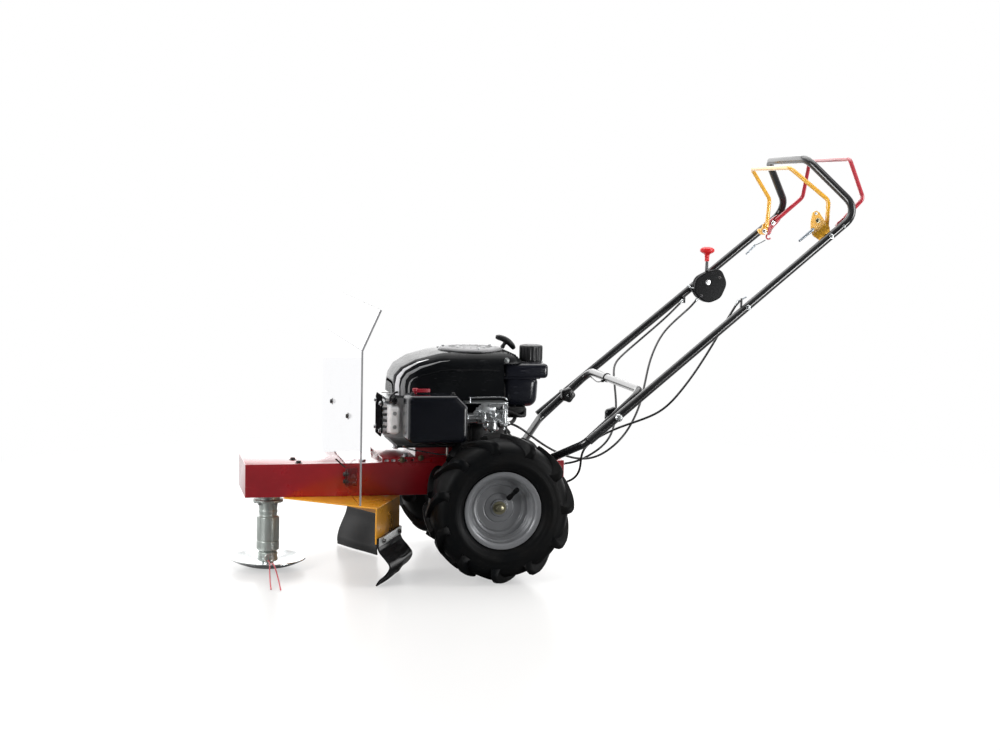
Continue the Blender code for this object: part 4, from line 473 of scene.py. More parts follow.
tyre_black = finish("tyre_rubber", (0.0036, 0.0042, 0.0048), 0.44,
                    second=(0.0056, 0.0054, 0.0052), worn=(0.014, 0.014, 0.014), dust=0.012,
                    grain=650.0, bump=0.00020, clouds=24.0, spread=0.10, level=0.09)
rim_grey = finish("rim_grey_paint", (0.205, 0.210, 0.220), 0.36, 0.25,
                  second=(0.170, 0.175, 0.184),
                  worn=(0.30, 0.31, 0.33), dust=0.06, grain=800.0, bump=0.00003, coat=0.25)
brass_zinc = finish("yellow_passivated_zinc", (0.34, 0.31, 0.20), 0.34, 0.9,
                    second=(0.25, 0.24, 0.17), dust=0.08)
bright_zinc = finish("bright_zinc_plate", (0.58, 0.60, 0.60), 0.30, 1.0,
                     second=(0.46, 0.48, 0.49), dust=0.04, grain=1400.0)
for side_name, side in SIDES:
    centre = at(0, side * TRACK / 2, WHEEL_RADIUS)
    outward = (0, side, 0)
    body = side_name + "_wheel"
    pair = bmesh.new()
    tread_bar(pair, 0.0, 1)
    tread_bar(pair, math.pi / LUGS, -1)
    bmesh.ops.recalc_face_normals(pair, faces=pair.faces)
    place = Matrix.Translation(centre) @ turn_to(outward)
    tyre = copies_about("tread_" + side_name, pair, LUGS, tyre_black, place)
    turned(tyre, eased(tyre_line(), 0.0016, True, 2), centre, outward, 88, True)
    piece("tyre_casing_" + side_name, tyre, tyre_black, body, "tyre_" + side_name,
          slot="tyre_rubber", angle=0.7)

    line = [(0.087, RIM_HALF), (0.0872, RIM_HALF - 0.003), (BEAD, RIM_HALF - 0.003),
            (BEAD, 0.028), (0.067, 0.018), (0.067, -0.018), (BEAD, -0.028),
            (BEAD, 0.003 - RIM_HALF), (0.087, 0.003 - RIM_HALF), (0.087, -RIM_HALF),
            (0.074, -RIM_HALF), (0.064, -0.020), (0.064, 0.003), (0.019, 0.003),
            (0.019, -RIM_HALF), (0.0098, -RIM_HALF), (0.0098, 0.010), (0.0185, 0.010),
            (0.020, 0.0066), (0.0315, 0.0063), (0.0335, 0.0048), (0.0355, 0.0063), (0.051, 0.006),
            (0.054, 0.013), (0.059, 0.0142), (0.064, 0.013), (0.0642, 0.020), (0.0682, 0.0245),
            (0.069, 0.0275), (0.0735, 0.030), (0.0742, 0.044), (0.079, 0.0472)]
    rim = turned(bmesh.new(), eased(line, 0.0018, True, 3), centre, outward, 96, True)
    piece("rim_shell_" + side_name, rim, rim_grey, body, "rim_" + side_name,
          slot="rim_paint", angle=0.9)

    shaft = bmesh.new()
    face = TRACK / 2 + 0.010
    reach = face - SHAFT_START
    turned(shaft, eased([(0, 0), (0.0095, 0), (0.0095, reach), (0, reach)], 0.0008),
           at(0, side * SHAFT_START, WHEEL_RADIUS), outward, 40)
    piece("axle_shaft_" + side_name, shaft, bright_zinc, body, "half_shaft_" + side_name,
          slot="zinc")
    bolts("axle_bolt_" + side_name, body, [(at(0, side * face, WHEEL_RADIUS), outward)],
          0.0098, 0.0075, 0.0150, brass_zinc)

    stem = bmesh.new()
    turned(stem, eased([(0, 0.0), (0.0062, 0.0), (0.0058, 0.010), (0.0048, 0.013), (0.0048, 0.026),
                        (0.0056, 0.027), (0.0056, 0.037), (0.0040, 0.039), (0, 0.039)], 0.0008),
           at(0.0200, side * (TRACK / 2 + 0.0135), WHEEL_RADIUS + 0.0215),
           (0.36, side * 0.66, 0.64), 28)
    piece("tyre_valve_" + side_name, stem, tyre_black, body, slot="tyre_rubber")


# CUTTING HEAD
# A turned and zinc-plated bearing housing on a flange, with a spinning line holder below.
# Doubled nylon line is looped through a wire eye, and a pressed dish rolls free on the ground.
HEAD_BACK = -0.4923
HOLDER_TOP = 0.0374
HOLDER_LOW = 0.0134
DISH_RADIUS = 0.086
DISH_HUB = 0.014
DISH_RISE = 0.020


def smooth_route(points, step):
    """Evenly spaced points on a smooth curve through the given points."""
    points = [Vector(point) for point in points]
    ends = [2 * points[0] - points[1]] + points + [2 * points[-1] - points[-2]]
    fine = []
    for p0, p1, p2, p3 in zip(ends, ends[1:], ends[2:], ends[3:]):
        for i in range(24):
            t = i / 24
            fine.append(0.5 * (2 * p1 + (p2 - p0) * t + (2 * p0 - 5 * p1 + 4 * p2 - p3) * t * t
                               + (3 * p1 - p0 - 3 * p2 + p3) * t ** 3))
    fine.append(points[-1])
    total = sum((b - a).length for a, b in zip(fine, fine[1:]))
    count = max(4, round(total / step))
    route, walked = [fine[0]], 0.0
    for a, b in zip(fine, fine[1:]):
        run = (b - a).length
        while len(route) < count and run and walked + run >= total * len(route) / count:
            route.append(a.lerp(b, (total * len(route) / count - walked) / run))
        walked += run
    return route + [fine[-1]]


def rings_along(shape, path, sizes, sides, closed=False):
    """Rings of points square to a path, turning no more than they must along it."""
    count = len(path)
    ways = []
    for i in range(count):
        before = path[i - 1] if closed or i else path[0]
        after = path[(i + 1) % count] if closed or i < count - 1 else path[-1]
        ways.append((after - before).normalized())
    spoke = ways[0].orthogonal().normalized()
    rings = []
    for point, way, size in zip(path, ways, sizes):
        spoke = (spoke - way * spoke.dot(way)).normalized()
        other = way.cross(spoke)
        rings.append([
            shape.verts.new(point + (spoke * math.cos(turn) + other * math.sin(turn)) * size)
            for turn in turns_of(sides)])
    return rings, ways


def swept(shape, path, radius, sides=16, closed=False):
    """A round bar along a path, its radius one number or one for each point, its ends domed."""
    path = [Vector(point) for point in path]
    sizes = radius if isinstance(radius, list) else [radius] * len(path)
    rings, ways = rings_along(shape, path, sizes, sides, closed)
    skin(shape, rings, along=closed)
    if not closed:
        for ring, centre, way, size in ((rings[0], path[0], -ways[0], sizes[0]),
                                        (rings[-1], path[-1], ways[-1], sizes[-1])):
            inner = [shape.verts.new(centre + (vertex.co - centre) * 0.7 + way * 0.25 * size)
                     for vertex in ring]
            skin(shape, [ring, inner])
            shape.faces.new(inner)
    return shape


def ring_of(shape, centre, axis, radius, wire, steps=40, sides=12):
    """A round wire ring about an axis."""
    turn = turn_to(axis)
    path = [Vector(centre) + turn @ spoke_point(radius, angle) for angle in turns_of(steps)]
    return swept(shape, path, wire, sides, closed=True)


def zinc_with_painted_reflections():
    """Dull zinc with a faint green cast, with darker vertical streaks down the housing painted on
    as painted reflections.
    """
    material = finish("zinc_plate_with_painted_reflections", (0.62, 0.67, 0.64), 0.36, 0.70,
                      second=(0.52, 0.57, 0.54), worn=(0.80, 0.82, 0.81), dust=0.04,
                      grain=1300.0, bump=0.00001, clouds=26.0, spread=0.05)
    tree = material.node_tree
    shader = tree.nodes["Principled BSDF"]
    spot = add(tree, "ShaderNodeTexCoord")
    drawn = add(tree, "ShaderNodeMapping", {
        "Vector": spot.outputs["Object"], "Scale": (1.0, 1.0, 0.05)})
    reflection_streak = add(tree, "ShaderNodeTexNoise", {
        "Vector": drawn.outputs[0], "Scale": 240.0, "Detail": 3.0}).outputs[0]
    base = shader.inputs["Base Color"].links[0].from_socket
    # The darker vertical streaks are painted reflections of the room on the turned housing.
    with_painted_reflections = blended(tree, span(tree, reflection_streak, 0.46, 0.72, 0.0, 0.45), base, (0.24, 0.28, 0.25, 1))
    tree.links.new(with_painted_reflections, shader.inputs["Base Color"])
    return material


head_zinc_painted_reflections = zinc_with_painted_reflections()
axis = at(HEAD_BACK, 0, 0)
top = BEAM_BOTTOM - 0.0003
housing = turned(bmesh.new(), eased([
    (0.0270, top), (0.0270, 0.1575), (0.0340, 0.1570), (0.0340, 0.1515), (0.0225, 0.1505),
    (0.0202, 0.1330), (0.0213, 0.1320), (0.0213, 0.1265), (0.0202, 0.1255), (0.0202, 0.1200),
    (0.0256, 0.1170), (0.0256, 0.0640), (0.0247, 0.0632), (0.0247, 0.0612), (0.0256, 0.0604),
    (0.0256, 0.0420), (0.0222, 0.0380), (0.0205, 0.0380), (0.0205, 0.1130), (0.0155, 0.1170),
    (0.0155, top)], 0.0012, True, 3), axis, steps=80, ring=True)
piece("bearing_housing", housing, head_zinc_painted_reflections, "chassis", "head_housing", slot="zinc")
bolts("housing_flange_bolts", "chassis", [
    (axis + spoke_point(0.0290, turn, 0.1515), (0, 0, -1))
    for turn in (0.5, 1.5, 2.9, 3.9, 5.2)], 0.0042, 0.0034, 0.0056, bright_zinc)
bearing = turned(bmesh.new(), eased([
    (0.0202, 0.0570), (0.0202, 0.0420), (0.0185, 0.0416), (0.0150, 0.0424), (0.0112, 0.0416),
    (0.0103, 0.0420), (0.0103, 0.0570)], 0.0006, True, 2), axis, steps=64, ring=True)
piece("bearing_and_seal", bearing, dark_bolt, "chassis", "head_bearing", slot="steel")

turned_steel = finish("turned_steel", (0.40, 0.41, 0.42), 0.32, 1.0, second=(0.30, 0.30, 0.31),
                      dust=0.05, grain=1600.0)
spindle = turned(bmesh.new(), eased([
    (0, 0.2360), (0.0086, 0.2360), (0.0100, 0.2346), (0.0100, 0.0123), (0.0060, 0.0123),
    (0.0060, 0.0056), (0.0054, 0.0050), (0, 0.0050)], 0.0004), axis, steps=40)
piece("head_spindle", spindle, turned_steel, "head", "head_shaft", slot="steel")
holder = turned(bmesh.new(), eased([
    (0.0200, HOLDER_TOP), (0.0230, HOLDER_TOP - 0.003), (0.0230, 0.0290), (0.0222, 0.0283),
    (0.0222, 0.0225), (0.0230, 0.0218), (0.0230, 0.0164), (0.0190, HOLDER_LOW),
    (0.0103, HOLDER_LOW), (0.0103, HOLDER_TOP)], 0.0008, True, 3), axis, steps=72, ring=True)
EYE_UP = (HOLDER_TOP + HOLDER_LOW) / 2
EYE_RADIUS = 0.0095
EYE_SIDE = 0.0289
for side_name, side in SIDES:
    ring_of(holder, at(HEAD_BACK, side * EYE_SIDE, EYE_UP), (0, 1, 0), EYE_RADIUS, 0.0020)
    neck = [at(HEAD_BACK, side * out, EYE_UP + EYE_RADIUS - 0.0008)
            for out in (0.0200, 0.0240, EYE_SIDE)]
    swept(holder, neck, 0.0024, 12)
piece("line_holder_body", holder, head_zinc_painted_reflections, "head", "line_holder", slot="zinc")


def strand(back, side, up):
    return at(HEAD_BACK + back, side, up)


def line_run():
    """The doubled line over the dish's rim and round the foot of the near eye."""
    bar = at(HEAD_BACK, -EYE_SIDE, EYE_UP - EYE_RADIUS)
    over, low = DISH_RISE + 0.0048, 0.0025
    first = smooth_route([
        strand(-0.0155, -0.240, low), strand(-0.0125, -0.190, 0.0095),
        strand(-0.0080, -0.130, 0.0200), strand(-0.0035, -DISH_RADIUS - 0.001, over),
        bar + Vector((-0.002, -0.012, 0.0060))], 0.004)
    turns = [1.3 - 0.2 * i for i in range(14)]
    loop = [bar + Vector((-0.0012 * a, 0.0038 * math.cos(a), 0.0038 * math.sin(a))) for a in turns]
    second = smooth_route([
        bar + Vector((0.002, -0.012, -0.0022)), strand(0.0040, -DISH_RADIUS - 0.001, over),
        strand(0.0055, -0.130, 0.0200), strand(0.0060, -0.190, 0.0095),
        strand(0.0045, -0.250, low)], 0.004)
    return first + loop + second


nylon_red = finish("red_nylon_line", (0.60, 0.015, 0.045), 0.34, second=(0.50, 0.01, 0.03),
                   worn=(0.75, 0.25, 0.28), dust=0.03, grain=2200.0)
piece("doubled_line", swept(bmesh.new(), line_run(), 0.0015, 10), nylon_red, "head",
      "cutting_line", slot="nylon_line")


def dish_height(radius):
    return DISH_RISE * (max(0.0, radius - DISH_HUB) / (DISH_RADIUS - DISH_HUB)) ** 2


spots = [DISH_HUB + i * (DISH_RADIUS - DISH_HUB) / 9 for i in range(10)]
upper = [(r, dish_height(r) + 0.0025) for r in spots]
dish = turned(bmesh.new(), [
    (0, 0.0047), (0.0063, 0.0047), (0.0063, 0.0120), (0.0128, 0.0120), (0.0140, 0.0108),
    *upper[:-1], (DISH_RADIUS - 0.0012, DISH_RISE + 0.0026),
    (DISH_RADIUS - 0.0002, DISH_RISE + 0.0016), (DISH_RADIUS, DISH_RISE),
    *[(r, dish_height(r)) for r in spots[::-1]], (0, 0)], axis, steps=96)
pale_zinc = finish("worn_zinc_sheet", (0.86, 0.88, 0.88), 0.20, 0.90, second=(0.76, 0.79, 0.79),
                   worn=(0.92, 0.93, 0.93), dust=0.04, clouds=30.0, spread=0.12)
piece("rolling_dish", dish, pale_zinc, "dish", "skid_dish", slot="zinc")


# BELT DRIVE
# Two V belts of black rubber run inside the beam from the engine's pulley, one to the head
# and one back to the axle. A sprung idler tightens the head belt when the red bail is pulled.
GROOVE = [(0, 0.007), (0, 0.0053), (-0.0086, 0.0038), (-0.0086, -0.0038), (0, -0.0053), (0, -0.007)]
HEAD_BELT_UP = 0.226
DRIVE_BELT_UP = 0.205
CRANK_BACK = -0.028
grey_iron = finish("grey_cast_iron", (0.055, 0.055, 0.058), 0.52, 0.6,
                   second=(0.035, 0.034, 0.034), worn=(0.16, 0.16, 0.165), dust=0.10, grain=520.0,
                   bump=0.00018)
belt_black = finish("belt_rubber", (0.013, 0.013, 0.014), 0.62, second=(0.021, 0.020, 0.019),
                    dust=0.08, grain=1100.0, bump=0.00008)
for node in ("head_belt", "drive_belt"):
    piece(node + "_loop", solid_of(node), belt_black, "chassis", node, slot="belt_rubber",
          bevel=0.0005, angle=0.9)


def pulley(name, body, node, back, radius, heights, top_line, bottom_line):
    """A V-grooved pulley with what it is turned in one piece with, from top to bottom."""
    line = list(top_line)
    for height in heights:
        line += [(radius + depth, height + up) for depth, up in GROOVE]
    ring = not (top_line and top_line[0][0] == 0)
    shape = turned(bmesh.new(), eased(line + list(bottom_line), 0.0006, ring, 2),
                   at(back, 0, 0), steps=64, ring=ring)
    return piece(name, shape, grey_iron, body, node)


pulley("head_pulley_body", "head", "head_pulley", HEAD_BACK, 0.045, (HEAD_BELT_UP,), (),
       [(0.0103, 0.219), (0.0103, 0.233)])
pulley("engine_shaft_and_pulleys", "crank", "crankshaft", CRANK_BACK, 0.030,
       (HEAD_BELT_UP, DRIVE_BELT_UP), [(0, 0.3657), (0.0125, 0.3657), (0.0125, 0.233)],
       [(0, 0.198)])
pulley("axle_input_pulley", "axle_drive", "axle_pulley", 0.105, 0.050, (DRIVE_BELT_UP,),
       [(0, 0.212)], [(0.009, 0.198), (0.009, 0.155), (0, 0.155)])
piece("idler_lever", solid_of("idler_arm"), bright_zinc, "idler_arm", "idler_arm", slot="zinc",
      bevel=0.0005)
idler_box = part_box("idler_pulley")
middle = (Vector(idler_box[0]) + Vector(idler_box[1])) / 2
idler = turned(bmesh.new(), eased([
    (0.0160, 0.2347), (0.0160, 0.2330), (0.0152, 0.2322), (0.0152, 0.2210), (0.0160, 0.2202),
    (0.0160, 0.2190), (0.0043, 0.2190), (0.0043, 0.2347)], 0.0004, True, 2),
    (middle.x, middle.y, 0), steps=48, ring=True)
piece("idler_roller", idler, turned_steel, "idler_pulley", "idler_pulley", slot="steel")


# AXLE GEARBOX
# A worm gearbox of cast iron under the beam, with the half shafts out of both ends.
# Two cast feet bolt up to the beam's lips, and the belt turns the shaft on top.
case = solid_of("axle_gearbox")
for _, side in SIDES:
    turned(case, eased([(0.0105, 0.0635), (0.0300, 0.0635), (0.0335, 0.0618), (0.0335, 0.0560),
                        (0.0300, 0.0545), (0.0105, 0.0545)], 0.001, True, 3),
           at(0, 0, WHEEL_RADIUS), (0, side, 0), 56, True)
piece("gearbox_casting", case, grey_iron, "chassis", "axle_gearbox", slot="cast_iron",
      bevel=0.0016, steps=2, angle=0.7)
bolts("gearbox_cover_bolts", "chassis", [
    (at(0.0270 * math.cos(a), side * 0.0635, WHEEL_RADIUS + 0.0270 * math.sin(a)), (0, side, 0))
    for _, side in SIDES for a in (0.4, 1.65, 2.9, 4.15, 5.4)],
    0.0036, 0.0030, 0.0048, dark_bolt)


# GUARD AND FLAPS
# A chevron of folded sheet in orange powder coat, bolted under the beam behind the line.
# Black rubber flaps hang on its two rear walls, under plated clamp strips with two bolts each.
orange_coat = finish("guard_orange_powder_coat", (0.90, 0.40, 0.020), 0.32,
                     second=(0.82, 0.34, 0.015), worn=(0.86, 0.62, 0.38), dust=0.08, grain=460.0,
                     bump=0.00003, coat=1.0)
piece("guard_sheet", solid_of("guard"), orange_coat, "chassis", "guard", slot="orange_paint",
      bevel=0.0007, steps=2)
bolts("guard_bolts", "chassis", [
    (at(back, side, 0.1722), (0, 0, -1))
    for back, side in ((-0.395, -0.070), (-0.395, 0.070), (-0.250, -0.066), (-0.250, 0.066))],
    0.0058, 0.0045, 0.0088, dark_bolt)

flap_black = finish("flap_rubber_sheet", (0.0090, 0.0090, 0.0100), 0.20,
                    second=(0.015, 0.015, 0.016), worn=(0.10, 0.10, 0.105), dust=0.05,
                    grain=520.0, bump=0.00006, clouds=34.0, spread=0.06, coat=0.4, level=0.2)
clamp_zinc = finish("clamp_strip_zinc", (0.86, 0.87, 0.86), 0.30, 0.75, second=(0.74, 0.76, 0.76),
                    dust=0.06, grain=1100.0)
FLAP_BOWS = {
    "left": [(0.000, 0.0880), (0.006, 0.0750), (0.021, 0.0590), (0.030, 0.0450), (0.022, 0.0290),
             (0.007, 0.0150), (-0.001, 0.0024)],
    "right": [(0.000, 0.0900), (-0.005, 0.0760), (-0.016, 0.0560), (-0.025, 0.0360),
              (-0.029, 0.0180), (-0.028, 0.0024)],
}
WALL_LOW = 0.0945
FLAP_THICK = 0.0040


def folded_sheet(shape, rows):
    """A closed sheet, each of its rows running out along the face and home along the back."""
    count = len(rows[0])
    for here, there in zip(rows, rows[1:]):
        for j in range(count):
            k = (j + 1) % count
            corners = [here[j], there[j], there[k], here[k]]
            shape.faces.new(corners if j < count // 2 else corners[1:] + corners[:1])
    for row in (rows[0], rows[-1]):
        for i in range(count // 2 - 1):
            shape.faces.new((row[i], row[i + 1], row[-2 - i], row[-1 - i]))
    return shape


for side_name, side in SIDES:
    corner, rear = at(-0.280, side * 0.240, 0), at(-0.203, side * BEAM_HALF, 0)
    run = rear - corner
    along = run.normalized()
    normal = Vector((abs(along.y), side * abs(along.x), 0))
    fall_line = [Vector((0, 0, WALL_LOW + 0.0125)), Vector((0, 0, WALL_LOW + 0.003))]
    fall_line += smooth_route([(out, 0, up) for out, up in FLAP_BOWS[side_name]], 0.003)
    flap = bmesh.new()
    shares = [0.02 + 0.96 * j / 18 for j in range(19)]
    rows = []
    for i, point in enumerate(fall_line):
        before, after = fall_line[max(0, i - 1)], fall_line[min(len(fall_line) - 1, i + 1)]
        lie = (after - before).normalized()
        sheet_out = Vector((-lie.z, 0, lie.x)) if lie.z < 0 else Vector((lie.z, 0, -lie.x))
        fall = min(1.0, i / 14)
        row = []
        for layer, order in ((0.0, shares), (FLAP_THICK, shares[::-1])):
            for share in order:
                wave = 0.0012 * fall * math.sin(7.3 * share + 1.7 * side)
                out = 0.0003 + point.x + sheet_out.x * layer + wave
                spot = corner + run * share + normal * out
                row.append(flap.verts.new((spot.x, spot.y, point.z + sheet_out.z * layer)))
        rows.append(row)
    folded_sheet(flap, rows)
    low_edge = min(vertex.co.z for vertex in flap.verts)
    if low_edge < 0.0005:
        bmesh.ops.translate(flap, vec=(0, 0, 0.0005 - low_edge), verts=flap.verts)
    piece("rubber_flap_" + side_name, flap, flap_black, "chassis", "flap_" + side_name,
          slot="flap_rubber", bevel=0.0007)
    piece("clamp_strip_" + side_name, solid_of("flap_clamp_" + side_name), clamp_zinc, "chassis",
          "flap_clamp_" + side_name, slot="zinc", bevel=0.0004)
    bolts("clamp_strip_bolts_" + side_name, "chassis", [
        (corner + run * share + normal * 0.0070 + Vector((0, 0, WALL_LOW + 0.00375)), normal)
        for share in (0.16, 0.84)], 0.0046, 0.0044, 0.0062, dark_bolt)


# SHIELD
# A clear 4 mm plastic sheet across the whole machine, 640 mm wide and bent back at the top.
# It straddles the beam on two black angles, bolted to the beam's sides and to the sheet.
# Its sawn edges are frosted, and the near one is painted dark grey as a painted shade line while
# the far edges stay clear.
SHIELD_FRONT = -0.330


def clear_sheet():
    """Clear plastic with a faint violet cast and a few fine scratches."""
    material = bpy.data.materials.new("clear_shield_sheet")
    material.use_nodes = True
    tree = material.node_tree
    shader = tree.nodes["Principled BSDF"]
    marks = add(tree, "ShaderNodeGroup", node_tree=SURFACE)
    marks.inputs["Grain Scale"].default_value = 300.0
    marks.inputs["Cloud Scale"].default_value = 5.0
    base = blended(tree, times(tree, marks.outputs["Scratches"], 0.35), (0.975, 0.975, 0.99, 1),
                   (0.88, 0.88, 0.90, 1))
    rough = maths(tree, span(tree, marks.outputs["Clouds"], 0.3, 0.7, 0.015, 0.05), "ADD",
                  times(tree, marks.outputs["Scratches"], 0.25))
    relief = add(tree, "ShaderNodeBump", {"Height": marks.outputs["Grain"], "Distance": 0.000002})
    tree.links.new(base, shader.inputs["Base Color"])
    tree.links.new(rough, shader.inputs["Roughness"])
    tree.links.new(relief.outputs[0], shader.inputs["Normal"])
    shader.inputs["Transmission Weight"].default_value = 1.0
    shader.inputs["IOR"].default_value = 1.07
    return material


sheet = solid_of("shield")
sharp = [edge for edge in sheet.edges
         if len(edge.link_faces) == 2 and edge.calc_face_angle() > 0.6]
bmesh.ops.bevel(sheet, geom=sharp, offset=0.0006, segments=1, affect="EDGES")
shield = piece("shield_sheet", sheet, clear_sheet(), "chassis", "shield", slot="clear_sheet",
               angle=0.05)
shield.data.materials.append(finish("sawn_edge_painted_shade", (0.30, 0.30, 0.31), 0.6, dust=0.03))
# Only the edge faces turned to the near side get the dark grey, a painted shade line; the far edges
# keep the clear sheet.
for face in shield.data.polygons:
    if face.normal.y < -0.3:
        face.material_index = 1
black_coat = finish("black_powder_coat", (0.0105, 0.0105, 0.0115), 0.26,
                    second=(0.016, 0.016, 0.017), worn=(0.11, 0.11, 0.115), dust=0.05,
                    grain=480.0, bump=0.00004, coat=0.4)
for side_name, _ in SIDES:
    node = "shield_bracket_" + side_name
    piece("shield_angle_" + side_name, solid_of(node), black_coat, "chassis", node,
          slot="black_paint", bevel=0.0006)
bolts("shield_beam_bolts", "chassis", [
    (at(-0.3101, side * (BEAM_HALF + 0.0028), 0.219), (0, side, 0)) for _, side in SIDES],
    0.0072, 0.0058, 0.0108, dark_bolt)
bolts("shield_face_bolts", "chassis", [
    (at(SHIELD_FRONT, side * out, up), (-1, 0, 0)) for _, side in SIDES
    for out, up in ((0.105, 0.212), (0.105, 0.228), (0.135, 0.364))],
    0.0050, 0.0042, 0.0080, dark_bolt)
pin = swept(bmesh.new(), [at(back, -0.0975, up) for back, up in (
    (-0.352, 0.262), (-0.344, 0.255), (-0.334, 0.246), (-0.3295, 0.2425))], 0.0018, 10)
piece("shield_pin", pin, dark_bolt, "chassis", slot="steel")


# ENGINE
# A vertical-crank petrol engine bolted to a slotted red plate over the beam.
# Its castings are black or bare aluminium, under a moulded black blower housing and a fuel tank.
def join(shape, other):
    """The faces of one shape moved into another."""
    mesh = bpy.data.meshes.new("joined")
    other.to_mesh(mesh)
    other.free()
    shape.from_mesh(mesh)
    bpy.data.meshes.remove(mesh)
    return shape


def boxed(shape, low, high, radius, steps=3):
    """A box with all its edges rounded, added to a shape."""
    made = bmesh.new()
    bmesh.ops.create_cube(made, size=1.0)
    middle, size = (low + high) / 2, high - low
    for vertex in made.verts:
        vertex.co = middle + Vector([a * b for a, b in zip(vertex.co, size)])
    bmesh.ops.bevel(made, geom=list(made.edges), offset=radius, segments=steps, profile=0.5,
                    affect="EDGES")
    return join(shape, made)


def flat_piece(shape, outline, base, depth, right=(1, 0, 0), up=(0, 0, 1)):
    """An outline stood out by a depth from a base point, square to its two directions."""
    right, up = Vector(right), Vector(up)
    out = right.cross(up).normalized() * depth
    near = [shape.verts.new(base + right * x + up * y) for x, y in outline]
    far = [shape.verts.new(vertex.co + out) for vertex in near]
    return skin(shape, [near, far], ends=True)


FLANGE_RADIUS = 0.0865
piece("engine_mounting_plate", solid_of("engine_plate"), beam_red, "chassis", "engine_plate",
      slot="red_paint", bevel=0.0007)
black_casting = finish("black_painted_casting", (0.012, 0.012, 0.013), 0.42, 0.2,
                       second=(0.020, 0.020, 0.021), worn=(0.16, 0.16, 0.165), dust=0.12,
                       grain=700.0, bump=0.00014, level=0.35)
cast_aluminium = finish("cast_aluminium", (0.62, 0.63, 0.63), 0.42, 0.75, second=(0.50, 0.51, 0.52),
                        worn=(0.80, 0.80, 0.80), dust=0.05, bump=0.00008)
crank_line = at(CRANK_BACK, 0, 0)
sump = solid_of("crankcase")
lugs = [spoke_point(FLANGE_RADIUS, 0.35 + turn, 0.2925) for turn in turns_of(9)]
lugs = [crank_line + lug for lug in lugs if lug.x > -0.6 * FLANGE_RADIUS]
for lug in lugs:
    swept(sump, [lug, lug + Vector((0, 0, 0.040))], 0.0042, 12)
piece("sump_casting", sump, black_casting, "chassis", "crankcase", slot="black_casting",
      bevel=0.0012)
bolts("sump_bolts", "chassis", [(lug + Vector((0, 0, 0.040)), (0, 0, 1)) for lug in lugs],
      0.0046, 0.0042, 0.0062, dark_bolt)
bolts("plate_bolts", "chassis", [
    (at(back, side * 0.070, 0.2618), (0, 0, 1)) for back in (-0.188, 0.104) for side in (-1, 1)],
    0.0062, 0.0050, 0.0095, bright_zinc)

wheel = turned(bmesh.new(), eased([
    (0.0580, 0.3800), (0.0580, 0.4020), (0.0500, 0.4020), (0.0500, 0.3800), (0.0225, 0.3800),
    (0.0225, 0.3960), (0.0128, 0.3960), (0.0128, 0.3660), (0.0580, 0.3660)], 0.0010, True, 2),
    crank_line, steps=96, ring=True)
blade = flat_piece(bmesh.new(), [
    (0.0510, 0.3790), (0.0572, 0.3790), (0.0572, 0.3985), (0.0440, 0.3985), (0.0400, 0.3850),
    (0.0400, 0.3790)], Vector((0, -0.0007, 0)), -0.0014)
join(wheel, copies_about("fan_blades", blade, 20, cast_aluminium, Matrix.Translation(crank_line)))
piece("flywheel_and_fan", wheel, cast_aluminium, "crank", "flywheel", slot="aluminium",
      bevel=0.0002)

barrel = solid_of("cylinder")
STUDS = [(side * 0.036, up) for side in (-1, 1) for up in (0.3165, 0.3795)]
for side, up in STUDS:
    swept(barrel, [at(-0.2365, side, up), at(-0.2330, side, up)], 0.0062, 16)
fin_metal = finish("finned_aluminium", (0.70, 0.71, 0.71), 0.40, 0.7, second=(0.56, 0.57, 0.58),
                   worn=(0.85, 0.85, 0.85), dust=0.03, grain=1000.0, bump=0.00006)
piece("finned_cylinder", barrel, fin_metal, "chassis", "cylinder", slot="aluminium", bevel=0.0005)
front_sheet = flat_piece(bmesh.new(), eased([
    (-0.046, 0.312), (-0.030, 0.302), (0.044, 0.302), (0.046, 0.386), (0.030, 0.3975),
    (-0.040, 0.3975), (-0.046, 0.386)], 0.006, True, 3), at(-0.2395, 0, 0), -0.0016, (0, 1, 0))
black_satin = finish("satin_black_moulding", (0.0050, 0.0054, 0.0062), 0.30,
                     second=(0.0075, 0.0080, 0.0090), worn=(0.06, 0.06, 0.065), dust=0.06,
                     grain=1400.0, bump=0.000025)
baffle_black = finish("matt_baffle_paint", (0.010, 0.010, 0.0105), 0.6, dust=0.04, level=0.0)
piece("cylinder_front_baffle", front_sheet, baffle_black, "chassis", slot="black_plastic",
      bevel=0.0004)
bolts("baffle_bolts", "chassis", [(at(-0.2411, side, up), (-1, 0, 0)) for side, up in STUDS],
      0.0044, 0.0036, 0.0060, bright_zinc)

face = -0.0483
# The cast cover is painted near white as a painted highlight of its bright glossy face.
rocker_cover_painted_highlight = finish("rocker_cover_painted_highlight_white", (0.97, 0.97, 0.96), 0.28, second=(0.92, 0.92, 0.91),
                      dust=0.02, grain=700.0)
cover = bmesh.new()
boxed(cover, at(-0.2290, face - 0.0300, 0.3130), at(-0.2030, face - 0.0030, 0.3780), 0.0088, 5)
boxed(cover, at(-0.2290, face - 0.0036, 0.3130), at(-0.2030, face, 0.3780), 0.0016, 2)
piece("rocker_cover_pressing", cover, rocker_cover_painted_highlight, "chassis", "rocker_cover", slot="aluminium",
      angle=0.9)
bolts("rocker_cover_bolts", "chassis", [
    (at(-0.2160, face - 0.0295, up), (0, -1, 0)) for up in (0.3300, 0.3610)],
    0.0034, 0.0026, 0.0048, bright_zinc)

